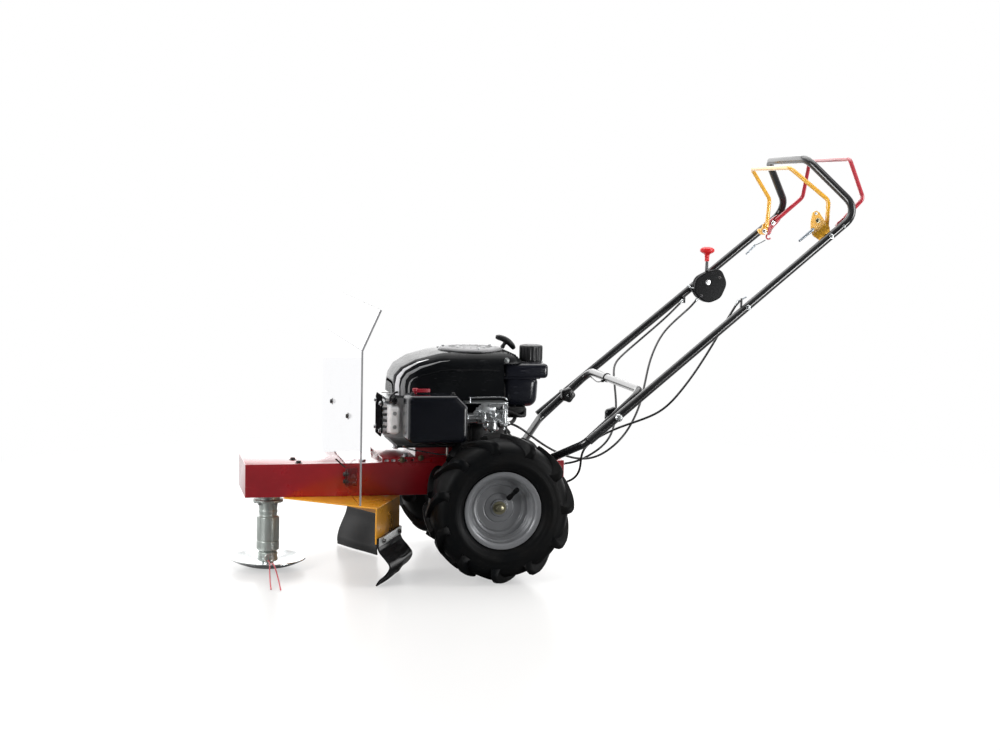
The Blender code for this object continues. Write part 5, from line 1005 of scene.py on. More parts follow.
foot = at(-0.2160, face, 0.3875)
boot = swept(bmesh.new(), [foot + Vector(step) for step in (
    (0, 0, 0), (0, -0.011, 0), (0.0005, -0.0115, 0), (0, -0.018, 0.001), (-0.005, -0.026, 0.003),
    (-0.010, -0.0335, 0.004))], [0.0050, 0.0050, 0.0078, 0.0078, 0.0074, 0.0060], 20)
ring_of(boot, foot + Vector((0, -0.0145, 0.0003)), (0, 1, 0), 0.0076, 0.0009, 24, 6)
piece("plug_and_boot", boot, black_satin, "chassis", "spark_plug", slot="black_plastic")
lead = smooth_route([foot + Vector(step) for step in (
    (-0.009, -0.0315, 0.004), (-0.012, -0.036, 0.009), (-0.006, -0.032, 0.018),
    (0.006, -0.020, 0.021), (0.020, -0.013, 0.022))], 0.003)
piece("plug_lead", swept(bmesh.new(), lead, 0.0026, 12), black_satin, "chassis",
      slot="black_plastic")

exhaust_steel = finish("heat_stained_steel", (0.30, 0.29, 0.28), 0.38, 0.9,
                       second=(0.17, 0.14, 0.12), worn=(0.45, 0.44, 0.42), dust=0.10,
                       grain=800.0, clouds=22.0, spread=0.12)
box = bmesh.new()
boxed(box, at(-0.2180, 0.0603, 0.3080), at(-0.1126, 0.0900, 0.3880), 0.0085, 4)
boxed(box, at(-0.2170, 0.0880, 0.3090), at(-0.1136, 0.1203, 0.3870), 0.0085, 4)
boxed(box, at(-0.2200, 0.0890, 0.3060), at(-0.1122, 0.0908, 0.3900), 0.0008, 1)
turned(box, [(0, 0.001), (0.0185, 0.001), (0.0185, 0.004), (0.0140, 0.0045), (0.0140, 0.013),
             (0, 0.013)], at(-0.1900, 0.0473, 0.3500), (0, 1, 0), 40)
turned(box, eased([(0.0070, 0), (0.0095, 0), (0.0095, 0.0035), (0.0070, 0.0035)], 0.0006, True, 2),
       at(-0.1600, 0.1195, 0.3300), (0, 1, 0), 36, True)
for i in range(4):
    rib = -0.2080 + 0.0240 * i
    boxed(box, at(rib, 0.1195, 0.3440), at(rib + 0.0050, 0.1225, 0.3800), 0.0014, 2)
piece("muffler_shell", box, exhaust_steel, "chassis", "muffler", slot="steel", angle=0.7)


# BLOWER HOUSING AND STARTER
# A domed cowl of satin black moulding over the fan, stepped into bands over the cylinder, the bands
# painted pale grey and near white as painted reflections and highlights.
# A pressed light-grey cap closes its crown, and the starter's T grip stands on a short rope.
STATIONS = [(-0.2180, 0.050, 0.425), (-0.2140, 0.062, 0.446), (-0.2000, 0.078, 0.465),
            (-0.1680, 0.091, 0.483), (-0.1200, 0.099, 0.496), (-0.1050, 0.100, 0.499),
            (0.0460, 0.100, 0.499), (0.0640, 0.093, 0.491), (0.0790, 0.080, 0.479)]
COWL_LOW = 0.354
COWL_NOSE_LOW = 0.401
COWL_TAIL_LOW = 0.4754
COWL_HALF = 0.100


def station(back):
    """Half width and crown of the cowl at a distance behind the axle."""
    for (b0, w0, z0), (b1, w1, z1) in zip(STATIONS, STATIONS[1:]):
        if back <= b1:
            t = (back - b0) / (b1 - b0)
            return w0 + (w1 - w0) * t, z0 + (z1 - z0) * t
    return STATIONS[-1][1:]


def cowl_section(back, low, inset):
    """Points over the cowl from one skirt to the other, drawn in by an inset."""
    half, high = station(back)
    flat = 0.66 * half
    half, high = half - inset, high - inset
    shoulder = min(half + inset - flat, high - COWL_LOW) * 0.98
    points = [(half, low), (half, low + 0.5 * (max(low, high - shoulder) - low))]
    for i in range(11):
        angle = math.pi / 2 * i / 10
        up = high - shoulder * (1 - math.sin(angle))
        points.append((half - shoulder * (1 - math.cos(angle)), max(low + 0.0006 * (i + 1), up)))
    points.append((0.5 * points[-1][0], high + 0.0004))
    return points + [(-width, up) for width, up in points[::-1]]


shell = bmesh.new()
rows = []
for back in (-0.2165, -0.2155, -0.2140, -0.2110, -0.2070, -0.2000, -0.1920, -0.1840, -0.1760,
             -0.1680, -0.1560, -0.1440, -0.1320, -0.1201, -0.1121, -0.1119, -0.1050, -0.0900,
             -0.0600, -0.0300, 0.0, 0.0200, 0.0299, 0.0302, 0.0460, 0.0520, 0.0580, 0.0640, 0.0715,
             0.0770, 0.0786):
    low = COWL_NOSE_LOW if back < -0.112 else COWL_TAIL_LOW if back > 0.0301 else COWL_LOW
    points = cowl_section(back, low, 0.0) + cowl_section(back, low, 0.0025)[::-1]
    rows.append([shell.verts.new(at(back, width, up)) for width, up in points])
folded_sheet(shell, rows)
points = cowl_section(-0.2172, COWL_NOSE_LOW, 0.004)
folded_sheet(shell, [[shell.verts.new(at(back, width, up)) for width, up in points]
                     for back in (-0.2180, -0.2158)])
cowl_black = finish("cowl_black_moulding", (0.0058, 0.0066, 0.0076), 0.25,
                    second=(0.0080, 0.0088, 0.0098), worn=(0.06, 0.06, 0.065), dust=0.04,
                    grain=1500.0, bump=0.00003, clouds=12.0, spread=0.07, level=0.10)
piece("cowl_shell", shell, cowl_black, "chassis", "blower_housing", slot="black_plastic", angle=0.5)

# The pale grey and near-white bands are painted reflections and painted highlights of the glossy
# stepped black cowl.
painted_reflection_band = finish("cowl_painted_reflection_band", (0.30, 0.305, 0.31), 0.34, second=(0.25, 0.255, 0.26),
                   dust=0.05, grain=1200.0)
painted_highlight_band = finish("cowl_painted_highlight_band", (0.80, 0.80, 0.81), 0.22, 0.4, second=(0.70, 0.70, 0.71),
                    dust=0.03, grain=1000.0)


def cowl_side(back, up, lift):
    """Half width of the cowl at a height, on a surface lifted off it by a little."""
    half, high = station(back)
    shoulder = min(0.34 * half, high - COWL_LOW) * 0.98 + lift
    half, high = half + lift, high + lift
    drop = min(1.0, max(0.0, 1 - (high - up) / shoulder))
    return half - shoulder * (1 - math.sqrt(max(0.0, 1 - drop * drop)))


outline = eased([(-0.2180, 0.402), (-0.2180, 0.425), (-0.2140, 0.446), (-0.2000, 0.465),
                 (-0.1680, 0.483), (-0.1200, 0.496), (-0.0900, 0.499), (0.0200, 0.499)],
                0.02, steps=3)
PROFILE = smooth_route([(back, 0, up) for back, up in outline], 0.005)
run = [0.0]
for a, b in zip(PROFILE, PROFILE[1:]):
    run.append(run[-1] + (b - a).length)
ALONG = [length / run[-1] for length in run]


def contour_band(name, material, side, inset, drift, wide, taper, thick):
    """A band on the cowl's side, inside its outline, which may taper out to a point."""
    shape = bmesh.new()
    rows = []
    for i, (point, share) in enumerate(zip(PROFILE, ALONG)):
        ahead = (PROFILE[min(i + 1, len(PROFILE) - 1)] - PROFILE[max(i - 1, 0)]).normalized()
        inward = Vector((ahead.z, 0, -ahead.x))
        width = wide * (1 - share * taper)
        if width < 0.0004:
            break
        row = []
        for lift, order in ((thick, range(5)), (-0.0004, range(4, -1, -1))):
            for k in order:
                rise = 0.2 * lift if k in (0, 4) and lift > 0 else lift
                spot = point + inward * (inset + drift * share + width * k / 4)
                back = max(-0.2179, spot.x)
                up = max(COWL_NOSE_LOW + 0.0002, min(spot.z, station(back)[1] + rise))
                row.append(shape.verts.new(at(back, side * cowl_side(back, up, rise), up)))
        rows.append(row)
    folded_sheet(shape, rows)
    piece(name, shape, material, "chassis", slot="black_plastic", angle=0.9)


# The first three bands carry the painted highlight and painted reflection colours; the shoulder rib
# stays cowl black.
BANDS = (
    ("bright_trim_", painted_highlight_band, 0.0035, 0.004, 0.0095, 1 / 0.46, 0.0012),
    ("grey_trim_", painted_reflection_band, 0.0150, 0.0, 0.0100, 1 / 0.62, 0.0010),
    ("lower_ridge_", painted_reflection_band, 0.0300, 0.006, 0.0085, 1 / 0.30, 0.0009),
    ("shoulder_rib_", cowl_black, 0.0330, 0.004, 0.0045, 0.0, 0.0013),
)
for side_name, side in SIDES:
    for name, material, *form in BANDS:
        contour_band(name + side_name, material, side, *form)

slats = bmesh.new()
for i in range(6):
    back = 0.0470 + 0.0058 * i
    half, high = station(back)
    boxed(slats, at(back - 0.0011, -0.74 * half, high - 0.004),
          at(back + 0.0011, 0.74 * half, high + 0.0032), 0.0008, 2)
piece("rear_louvres", slats, cowl_black, "chassis", slot="black_plastic", angle=0.8)
seam = bmesh.new()
for _, side in SIDES:
    swept(seam, [at(back, side * COWL_HALF, COWL_LOW + 0.0032)
                 for back in (-0.109, -0.105, -0.060, 0.0, 0.029)], 0.0016, 8)
piece("cowl_hem", seam, cowl_black, "chassis", slot="black_plastic")
bolts("cowl_bolts", "chassis", [
    (at(back, side * COWL_HALF, up), (0, side, 0)) for _, side in SIDES
    for back, up in ((-0.096, 0.372), (0.018, 0.372), (0.0365, 0.4835))],
    0.0042, 0.0034, 0.0062, bright_zinc)

cap_metal = finish("starter_cap_grey", (0.20, 0.20, 0.205), 0.40, 0.2, second=(0.16, 0.16, 0.165),
                   dust=0.05)
cap = turned(bmesh.new(), eased([
    (0, 0.5073), (0.0180, 0.5073), (0.0200, 0.5058), (0.0260, 0.5058), (0.0280, 0.5073),
    (0.0560, 0.5068), (0.0715, 0.5052), (0.0755, 0.5023), (0.0755, 0.4993), (0, 0.4993)],
    0.0010, steps=3), crank_line, steps=96)
piece("starter_cap_pressing", cap, cap_metal, "chassis", "starter_cap", slot="aluminium", angle=0.9)
vent = boxed(bmesh.new(), Vector((0.0350, -0.0012, 0.5062)), Vector((0.0510, 0.0012, 0.5075)),
             0.0006, 2)
vents = copies_about("cap_vents", vent, 18, cap_metal, Matrix.Translation(crank_line))
piece("starter_cap_vents", vents, cowl_black, "chassis", slot="black_plastic")
bolts("starter_cap_bolts", "chassis", [
    (crank_line + spoke_point(0.0660, turn, 0.5050), (0, 0, 1))
    for turn in (0.6, 2.7, 4.8)], 0.0036, 0.0026, 0.0050, bright_zinc)

PULL = Vector((math.sin(math.radians(32)), 0, math.cos(math.radians(32))))
rope_foot = at(0.048, 0.012, 0.499)
middle = rope_foot + PULL * 0.0245
across = Vector((PULL.z, 0, -PULL.x))
shares = [-1 + 2 * i / 20 for i in range(21)]
grip = swept(bmesh.new(), [middle + across * 0.0255 * s - PULL * 0.0062 * s * s for s in shares],
             [0.0074 - 0.0016 * s * s - 0.0012 * max(0.0, abs(s) - 0.8) * 5 for s in shares], 20)
turned(grip, eased([(0, 0), (0.0046, 0), (0.0052, 0.004), (0.0040, 0.010), (0.0060, 0.0155),
                    (0, 0.0170)], 0.001), middle - PULL * 0.0205, PULL, 28)
grip_black = finish("grip_moulding", (0.0085, 0.009, 0.010), 0.36, second=(0.0125, 0.013, 0.014),
                    worn=(0.05, 0.05, 0.055), grain=1100.0, bump=0.00006)
piece("starter_grip_moulding", grip, grip_black, "starter", "starter_grip", slot="black_plastic",
      angle=0.9)
rope_white = finish("starter_rope", (0.30, 0.30, 0.29), 0.6, second=(0.20, 0.20, 0.19), dust=0.1,
                    grain=2600.0, bump=0.0003)
rope = swept(bmesh.new(), [rope_foot + PULL * out for out in
                           (-0.016, -0.011, -0.006, -0.001, 0.004, 0.008, 0.014)], 0.0019, 10)
piece("starter_rope_run", rope, rope_white,
      ("chassis", "starter", rope_foot - PULL * 0.0158, rope_foot + PULL * 0.0100),
      slot="black_plastic")


# TANK, INTAKE AND CONTROLS
# The moulded tank hangs behind the cowl by its overhanging rim, with a fluted screw cap.
# On the near side sit the air filter, the carburettor and a plate of springs and linkages.
TANK_MIDDLE = AXLE_X + 0.075
CAP_BACK = 0.110
CAP_SIDE = -0.030
tank_black = finish("tank_moulding", (0.0062, 0.0072, 0.0120), 0.22,
                    second=(0.0084, 0.0094, 0.0150), worn=(0.06, 0.06, 0.07), dust=0.05,
                    grain=1300.0, bump=0.00003, clouds=10.0)
tank = boxed(bmesh.new(), at(0.0320, -0.0880, 0.3740), at(0.1180, 0.0880, 0.4500), 0.0215, 6)
for vertex in tank.verts:
    low = max(0.0, (0.440 - vertex.co.z) / 0.066)
    vertex.co.x = TANK_MIDDLE + (vertex.co.x - TANK_MIDDLE) * (1 - 0.06 * low)
    vertex.co.y *= 1 - 0.04 * low
boxed(tank, at(0.0340, -0.0910, 0.4410), at(0.1380, 0.0910, 0.4750), 0.0090, 4)
boxed(tank, at(0.0320, -0.0890, 0.4395), at(0.1190, 0.0890, 0.4440), 0.0018, 2)
piece("fuel_tank_moulding", tank, tank_black, "chassis", "fuel_tank", slot="black_plastic",
      angle=0.8)

cap_line = eased([(0, 0.5133), (0.0120, 0.5133), (0.0150, 0.5120), (0.0200, 0.5120),
                  (0.0225, 0.5133), (0.0250, 0.5130), (0.0268, 0.5110), (0.0270, 0.5060),
                  (0.0270, 0.4800), (0.0262, 0.4768), (0.0246, 0.4756), (0, 0.4756)],
                 0.0010, steps=2)
cap = bmesh.new()
rings = []
for turn in turns_of(144):
    flute = 0.0016 * (0.5 + 0.5 * math.tanh(3 * math.cos(18 * turn)))
    rings.append([cap.verts.new(at(CAP_BACK, CAP_SIDE, 0) + spoke_point(
        radius - (flute if 0.478 < up < 0.509 and radius > 0.026 else 0.0), turn, up))
        for radius, up in cap_line])
skin(cap, rings, False, True)
piece("fuel_cap_moulding", cap, grip_black, "fuel_cap", "fuel_cap", slot="black_plastic",
      angle=0.8)
collar = turned(bmesh.new(), eased([
    (0.0238, 0.4700), (0.0285, 0.4700), (0.0285, 0.4755), (0.0262, 0.4766), (0.0238, 0.4752)],
    0.0008, True, 2), at(CAP_BACK, CAP_SIDE, 0), steps=64, ring=True)
piece("filler_collar", collar, tank_black, "chassis", slot="black_plastic", angle=0.8)

FILTER_FACE = -0.122
cover_black = finish("filter_cover_moulding", (0.0040, 0.0050, 0.0082), 0.22,
                     second=(0.0056, 0.0066, 0.0100), worn=(0.05, 0.05, 0.055), dust=0.05,
                     grain=1500.0, bump=0.00002, clouds=8.0)
# The black plastic base is painted light grey as a painted reflection on its front face.
filter_base_painted_reflection = finish("filter_base_painted_reflection_grey", (0.86, 0.865, 0.87), 0.38, 0.1, second=(0.78, 0.785, 0.79))


def filter_moulding(levels):
    """The filter's outline at a run of (side, inset) levels, closed at both ends."""
    shape = bmesh.new()
    rings = []
    for side, inset in levels:
        front, rear, low, high = -0.204 + inset, -0.070 - inset, 0.308 + inset, 0.413 - inset
        outline = eased([
            (front, low + 0.008), (front + 0.008, low), (rear - 0.008, low), (rear, low + 0.008),
            (rear, high - 0.024), (rear - 0.024, high), (front + 0.008, high),
            (front, high - 0.008)], 0.009, True, 5)
        rings.append([shape.verts.new(at(back, side, up)) for back, up in outline])
    return skin(shape, rings, ends=True)


cover = filter_moulding([(FILTER_FACE - depth, inset) for depth, inset in (
    (0.0, 0.0), (0.0600, 0.0), (0.0622, 0.0004), (0.0640, 0.0012), (0.0655, 0.0026),
    (0.0668, 0.0048), (0.0676, 0.0080), (0.0680, 0.0120))])
piece("filter_cover_moulding", cover, cover_black, "chassis", "air_filter_cover",
      slot="black_plastic", angle=0.9)
base = filter_moulding([(-0.1217, 0.0040), (-0.1180, 0.0040), (-0.1170, 0.0055),
                        (-0.1130, 0.0055), (-0.1120, 0.0040), (-0.1006, 0.0040)])
piece("filter_base_plate", base, filter_base_painted_reflection, "chassis", "air_filter_base", slot="black_plastic",
      bevel=0.0006)
bolts("filter_cover_screws", "chassis", [
    (at(-0.1900, -0.1560, 0.4130), (0, 0, 1)), (at(-0.0980, -0.1560, 0.4130), (0, 0, 1))],
    0.0046, 0.0034, 0.0066, black_satin)

THROAT = (-0.122, 0.356)
silver = finish("polished_diecast", (0.76, 0.78, 0.79), 0.22, 0.9, second=(0.60, 0.63, 0.65),
                worn=(0.9, 0.9, 0.9), dust=0.02, clouds=40.0)
carb = turned(bmesh.new(), eased([
    (0, 0), (0.0165, 0), (0.0165, 0.010), (0.0120, 0.013), (0.0120, 0.030), (0.0150, 0.034),
    (0.0150, 0.0560), (0.0165, 0.060), (0.0165, 0.0957), (0, 0.0957)], 0.001),
    at(-0.0697, *THROAT), (1, 0, 0), 48)
turned(carb, eased([
    (0, 0), (0.0046, 0), (0.0052, 0.0025), (0.0160, 0.0035), (0.0175, 0.0070), (0.0175, 0.0225),
    (0.0190, 0.0230), (0.0190, 0.0262), (0.0165, 0.0270), (0.0165, 0.032), (0, 0.032)], 0.0010),
    at(-0.002, THROAT[0], 0.324), steps=48)
turned(carb, eased([(0, 0), (0.0085, 0), (0.0085, 0.0137), (0, 0.0137)], 0.0006),
       at(-0.0737, -0.111, THROAT[1]), (1, 0, 0), 32)
for low, high, radius in (((0.020, -0.144, 0.336), (0.028, -0.1006, 0.376), 0.0030),
                          ((0.004, -0.122, 0.344), (0.024, -0.1006, 0.368), 0.0040),
                          ((-0.030, -0.140, 0.348), (-0.018, -0.126, 0.368), 0.0025)):
    boxed(carb, at(*low), at(*high), radius)
for back, high, radius in ((-0.012, 0.3805, 0.0042), (-0.036, 0.3790, 0.0034)):
    swept(carb, [at(back, THROAT[0], 0.366), at(back, THROAT[0], high)], radius)
piece("carburettor_diecast", carb, silver, "chassis", "carburettor", slot="aluminium", angle=0.7)
bolts("carburettor_bolts", "chassis", [
    (at(0.0200, -0.1385, 0.3410), (-1, 0, 0)), (at(0.0200, -0.1385, 0.3710), (-1, 0, 0)),
    (at(-0.002, -0.1220, 0.3240), (0, 0, -1))], 0.0040, 0.0036, 0.0056, bright_zinc)


def rod(shape, points, radius, sides=8, step=None):
    """A rod through points from the axle, bent smoothly between them where it has a step."""
    path = [at(*point) for point in points]
    return swept(shape, smooth_route(path, step) if step else path, radius, sides)


def spring(shape, start, end, radius, wire, turns):
    """A close coil between two points, with its two ends hooked to the middle."""
    way = end - start
    turn = turn_to(way)
    count = turns * 14
    path = [start]
    for i in range(count + 1):
        wound = turn @ spoke_point(radius, 2 * math.pi * i / 14)
        path.append(start + way * (0.12 + 0.76 * i / count) + wound)
    return swept(shape, path + [end], wire, 6)


link = bmesh.new()
flat_piece(link, [(-0.012, 0.382), (0.010, 0.382), (0.022, 0.3885), (0.030, 0.380),
                  (0.034, 0.383), (0.024, 0.390), (-0.012, 0.3885)], at(0, -0.1445, 0), 0.0014)
flat_piece(link, eased([(-0.050, 0.370), (-0.044, 0.364), (-0.030, 0.370), (-0.026, 0.386),
                        (-0.033, 0.388)], 0.002, True, 2), at(0, -0.1425, 0), 0.0014)
rod(link, [(-0.043, -0.145, 0.367), (-0.020, -0.1465, 0.372), (0.008, -0.1465, 0.374),
           (0.030, -0.144, 0.380)], 0.0011, step=0.004)
rod(link, [(-0.056, -0.140, 0.4035), (-0.020, -0.141, 0.4045), (0.020, -0.1405, 0.404),
           (0.030, -0.138, 0.398)], 0.0014, step=0.004)
rod(link, [(-0.056, -0.140, 0.3925), (-0.056, -0.140, 0.4045)], 0.0013)
rod(link, [(0.024, -0.140, 0.330), (0.025, -0.140, 0.3925)], 0.0026, 10)
rod(link, [(0.031, -0.136, 0.338), (0.031, -0.136, 0.392)], 0.0018, 10)
spring(link, at(-0.0420, -0.1475, 0.3760), at(0.0020, -0.1480, 0.3640), 0.0032, 0.0007, 9)
spring(link, at(0.0030, -0.1470, 0.3560), at(0.0230, -0.1470, 0.3420), 0.0030, 0.0007, 6)
ring_of(link, at(-0.0020, -0.1400, 0.3640), (0, 1, 0), 0.0062, 0.0016, 28, 8)
ring_of(link, at(-0.0200, -0.1420, 0.3420), (0, 1, 0), 0.0050, 0.0014, 28, 8)
piece("linkage_and_springs", link, silver, "chassis", slot="zinc")
piece("control_plate_sheet", solid_of("control_plate"), bright_zinc, "chassis", "control_plate",
      slot="zinc", bevel=0.0004)

choke_red = finish("choke_red_moulding", (0.42, 0.008, 0.028), 0.28, second=(0.34, 0.005, 0.018),
                   dust=0.03, grain=1200.0)
pivot = at(-0.182, -0.144, 0.4133)
lever = turned(bmesh.new(), eased([
    (0, 0), (0.0042, 0), (0.0042, 0.0060), (0.0066, 0.0065), (0.0066, 0.0120), (0.0050, 0.0130),
    (0, 0.0130)], 0.0006), pivot, steps=32)
flat_piece(lever, eased([
    (0, -0.0060), (0.0100, -0.0058), (0.0340, -0.0034), (0.0340, 0.0034), (0.0100, 0.0058),
    (0, 0.0060)], 0.0030, True, 3), pivot + Vector((0, 0, 0.0042)), 0.0068, up=(0, 1, 0))
for i in range(4):
    low = pivot + Vector((0.0180 + 0.0040 * i, -0.0038, 0.0100))
    boxed(lever, low, low + Vector((0.0018, 0.0076, 0.0018)), 0.0006, 1)
piece("choke_lever_moulding", lever, choke_red, "choke", "choke_lever", slot="red_plastic",
      angle=0.8)

hose_black = finish("fuel_hose_rubber", (0.010, 0.010, 0.011), 0.45, second=(0.016, 0.016, 0.016),
                    dust=0.08, grain=1500.0, level=0.4)
hose = bmesh.new()
rod(hose, [(0.062, -0.070, 0.376), (0.064, -0.080, 0.362), (0.056, -0.102, 0.348),
           (0.042, -0.118, 0.342), (0.024, -0.128, 0.338), (0.012, -0.130, 0.338)],
    0.0044, 14, 0.004)
rod(hose, [(0.084, -0.074, 0.376), (0.083, -0.090, 0.360), (0.070, -0.102, 0.356),
           (0.050, -0.101, 0.364), (0.028, -0.101, 0.370)], 0.0036, 14, 0.004)
turned(hose, eased([(0, 0), (0.0068, 0), (0.0068, 0.0120), (0, 0.0120)], 0.0012),
       at(0.0620, -0.0700, 0.3640), steps=28)
boxed(hose, at(0.0440, -0.0860, 0.3500), at(0.0900, -0.0560, 0.3750), 0.0060)
piece("fuel_hoses", hose, hose_black, "chassis", slot="black_plastic", angle=0.8)
clips = bmesh.new()
ring_of(clips, at(0.0632, -0.0810, 0.3610), (0.2, -0.7, -0.7), 0.0048, 0.0008, 28, 6)
ring_of(clips, at(0.0260, -0.1272, 0.3384), (1, 0.5, 0.2), 0.0048, 0.0008, 28, 6)
piece("hose_clips", clips, bright_zinc, "chassis", slot="zinc")
rods = bmesh.new()
rod(rods, [(-0.200, -0.099, 0.290), (-0.183, -0.100, 0.282), (-0.150, -0.101, 0.276),
           (-0.118, -0.101, 0.2705), (-0.095, -0.099, 0.269), (-0.080, -0.094, 0.274)],
    0.0016, step=0.004)
rod(rods, [(-0.0985, -0.0935, 0.266), (-0.0985, -0.099, 0.268), (-0.0985, -0.102, 0.285)],
    0.0026, 10)
piece("brake_rod", rods, bright_zinc, "chassis", slot="zinc")
bolts("bracket_bolts", "chassis", [
    (at(-0.1563, -0.0876, 0.2600), (0, -1, 0)), (at(-0.1990, -0.0876, 0.2562), (0, -1, 0))],
    0.0050, 0.0042, 0.0070, brass_zinc)


# HANDLEBAR
# One 19 mm tube bent into a lower U and one into the upper legs and grip, coated satin black.
# The upper bar clamps inside the lower arms by two bolts with lobed knobs, and folds about them.
PIVOT = (0.262, 0.369)
ARM_SIDE = 0.2105
ARM_END = 0.324
TUBE_RADIUS = 0.0095
TUBE_WALL = 0.0020
YELLOW_PIN = 0.762
RED_PIN = 0.788
UPPER_LEG = ((0.198, 0.2335, 0.3163), (0.832, 0.2170, 0.8390))
tube_black = finish("tube_powder_coat", (0.0095, 0.0098, 0.0108), 0.24,
                    second=(0.0145, 0.0148, 0.0155), worn=(0.09, 0.09, 0.095), dust=0.05,
                    grain=520.0, coat=0.5)


def leg_point(back, side):
    """A point on the middle line of one leg of the upper bar."""
    low, high = (Vector(point) for point in UPPER_LEG)
    spot = low.lerp(high, (back - low.x) / (high.x - low.x))
    return at(spot.x, side * spot.y, spot.z)


def arm_up(back):
    """Height of the lower arms' middle line, which rises through the folding pivot."""
    return PIVOT[1] + (back - PIVOT[0]) * 0.92


def both_sides(half):
    """A bar's path up one side and back down the other."""
    return [at(back, -side, up) for back, side, up in half] + [at(*point) for point in half[::-1]]


def bent(points, radius):
    """Points with each corner turned to an arc of one radius."""
    path = [points[0]]
    for before, corner, after in zip(points, points[1:], points[2:]):
        arrive, leave = (before - corner).normalized(), (after - corner).normalized()
        half = arrive.angle(leave) / 2
        back = radius / math.tan(half)
        middle = corner + (arrive + leave).normalized() * (radius / math.sin(half))
        first, last = corner + arrive * back - middle, corner + leave * back - middle
        sweep = first.angle(last)
        for t in (i / 8 for i in range(9)):
            way = first * math.sin((1 - t) * sweep) + last * math.sin(t * sweep)
            path.append(middle + way / math.sin(sweep))
    return path + [points[-1]]


def open_tube(half, bend):
    """A tube with open ends along both sides of a bar, its wall turned over at each end."""
    shape = bmesh.new()
    path = bent(both_sides(half), bend)
    skins = [rings_along(shape, path, [radius] * len(path), 24)[0]
             for radius in (TUBE_RADIUS, TUBE_RADIUS - TUBE_WALL)]
    for rings in skins + [[rings[end] for rings in skins] for end in (0, -1)]:
        skin(shape, rings)
    return shape


lower = open_tube([(0.020, 0.0973, 0.200), (0.112, 0.0973, 0.243), (0.195, ARM_SIDE, arm_up(0.195)),
                   (ARM_END, ARM_SIDE, arm_up(ARM_END))], 0.030)
piece("lower_handle_tube", lower, tube_black, "chassis", "lower_handle", slot="black_paint",
      angle=1.0)
for side_name, side in SIDES:
    bolts("foot_bolts_" + side_name, "chassis", [
        (at(back, side * 0.1068, 0.200 + (back - 0.020) * 0.467), (0, side, 0))
        for back in (0.036, 0.086)], 0.0062, 0.0050, 0.0090, bright_zinc)

upper = open_tube([*UPPER_LEG, (0.739, 0.122, 0.956)], 0.045)
for back, side, near, far, low, high in ((0.549, -1, -0.005, 0.005, 0.004, 0.032),
                                         (0.562, 1, -0.025, -0.004, -0.018, -0.003)):
    middle = leg_point(back, side)
    boxed(upper, middle + Vector((-0.0015, near, low)), middle + Vector((0.0015, far, high)),
          0.0006, 1)
for back, reach in ((YELLOW_PIN, 0.186), (RED_PIN, 0.195)):
    for side in (-1, 1):
        foot = leg_point(back, side)
        swept(upper, [foot, Vector((foot.x, side * reach, foot.z))], 0.0030, 16)
piece("upper_handle_tube", upper, tube_black, "handle", "upper_handle", slot="black_paint",
      angle=1.0)
for name, spots in (("left", [(0.563, -1), (0.761, -1)]), ("right", [(0.640, 1)])):
    bolts("leg_bolts_" + name, "handle", [
        (leg_point(back, side) + Vector((0, side * 0.0092, 0)), (0, side, 0))
        for back, side in spots], 0.0042, 0.0036, 0.0058, bright_zinc)
plug = bmesh.new()
for side in (-1, 1):
    foot = leg_point(UPPER_LEG[0][0], side)
    turned(plug, eased([(0, -0.0016), (0.0088, -0.0016), (TUBE_RADIUS, -0.0008), (TUBE_RADIUS, 0),
                        (0.0070, 0.0010), (0.0070, 0.0100), (0, 0.0100)], 0.0006),
           foot, (leg_point(0.30, side) - foot).normalized(), 32)
piece("tube_end_plugs", plug, black_satin, "handle", slot="black_plastic", angle=0.8)

KNOB_FACE = 0.2007
for side_name, side in SIDES:
    pivot = at(PIVOT[0], 0, PIVOT[1])
    bolt = turned(bmesh.new(), eased([
        (0, 0.1887), (0.0040, 0.1887), (0.0040, 0.2433), (0.0090, 0.2433), (0.0090, 0.2445),
        (0.0082, 0.2468), (0.0060, 0.2490), (0, 0.2493)], 0.0005), pivot, (0, side, 0), 40)
    piece("clamp_carriage_bolt_" + side_name, bolt, bright_zinc, "chassis",
          "clamp_bolt_" + side_name, slot="zinc", angle=0.7)
    knob = bmesh.new()
    levels = [(KNOB_FACE - depth, 0.019 * share, 0.07) for depth, share in (
        (0.0, 0.80), (0.0012, 0.93), (0.0040, 1.0), (0.0120, 1.0), (0.0150, 0.95), (0.0172, 0.82),
        (0.0180, 0.66), (0.0180, 0.42))]
    levels += [(0.1881, 0.0043, 0.0), (KNOB_FACE, 0.0043, 0.0)]
    rings = []
    for out, wide, lobe in levels:
        ring = []
        for turn in turns_of(80):
            radius = wide * (1 - lobe * (1 - math.cos(5 * turn)))
            ring.append(knob.verts.new(pivot + Vector((
                radius * math.cos(turn), side * out, radius * math.sin(turn)))))
        rings.append(ring)
    skin(knob, rings, along=True)
    turned(knob, eased([(0.0046, 0.1905), (0.0080, 0.1905), (0.0080, 0.1835), (0.0068, 0.1826),
                        (0.0046, 0.1826)], 0.0005, True, 2), pivot, (0, side, 0), 6, True)
    piece("clamp_knob_moulding_" + side_name, knob, black_satin, "knob_" + side_name,
          "clamp_knob_" + side_name, slot="black_plastic", angle=0.7)

tie = turned(bmesh.new(), eased([
    (0.0096, -0.0028), (0.0111, -0.0028), (0.0111, 0.0028), (0.0096, 0.0028)], 0.0005, True, 2),
    at(ARM_END, 0.063, 0.4260), (0, 1, 0), 44, True)
boxed(tie, at(ARM_END - 0.0150, 0.0592, 0.4150), at(ARM_END - 0.0080, 0.0668, 0.4210), 0.0012, 2)
rod(tie, [(ARM_END - 0.0115, 0.066, 0.417), (ARM_END - 0.0135, 0.100, 0.412),
          (ARM_END - 0.0120, 0.145, 0.415), (ARM_END - 0.0080, 0.182, 0.4165)], 0.0014, step=0.004)
piece("cable_tie_low", tie, black_satin, "chassis", slot="black_plastic")


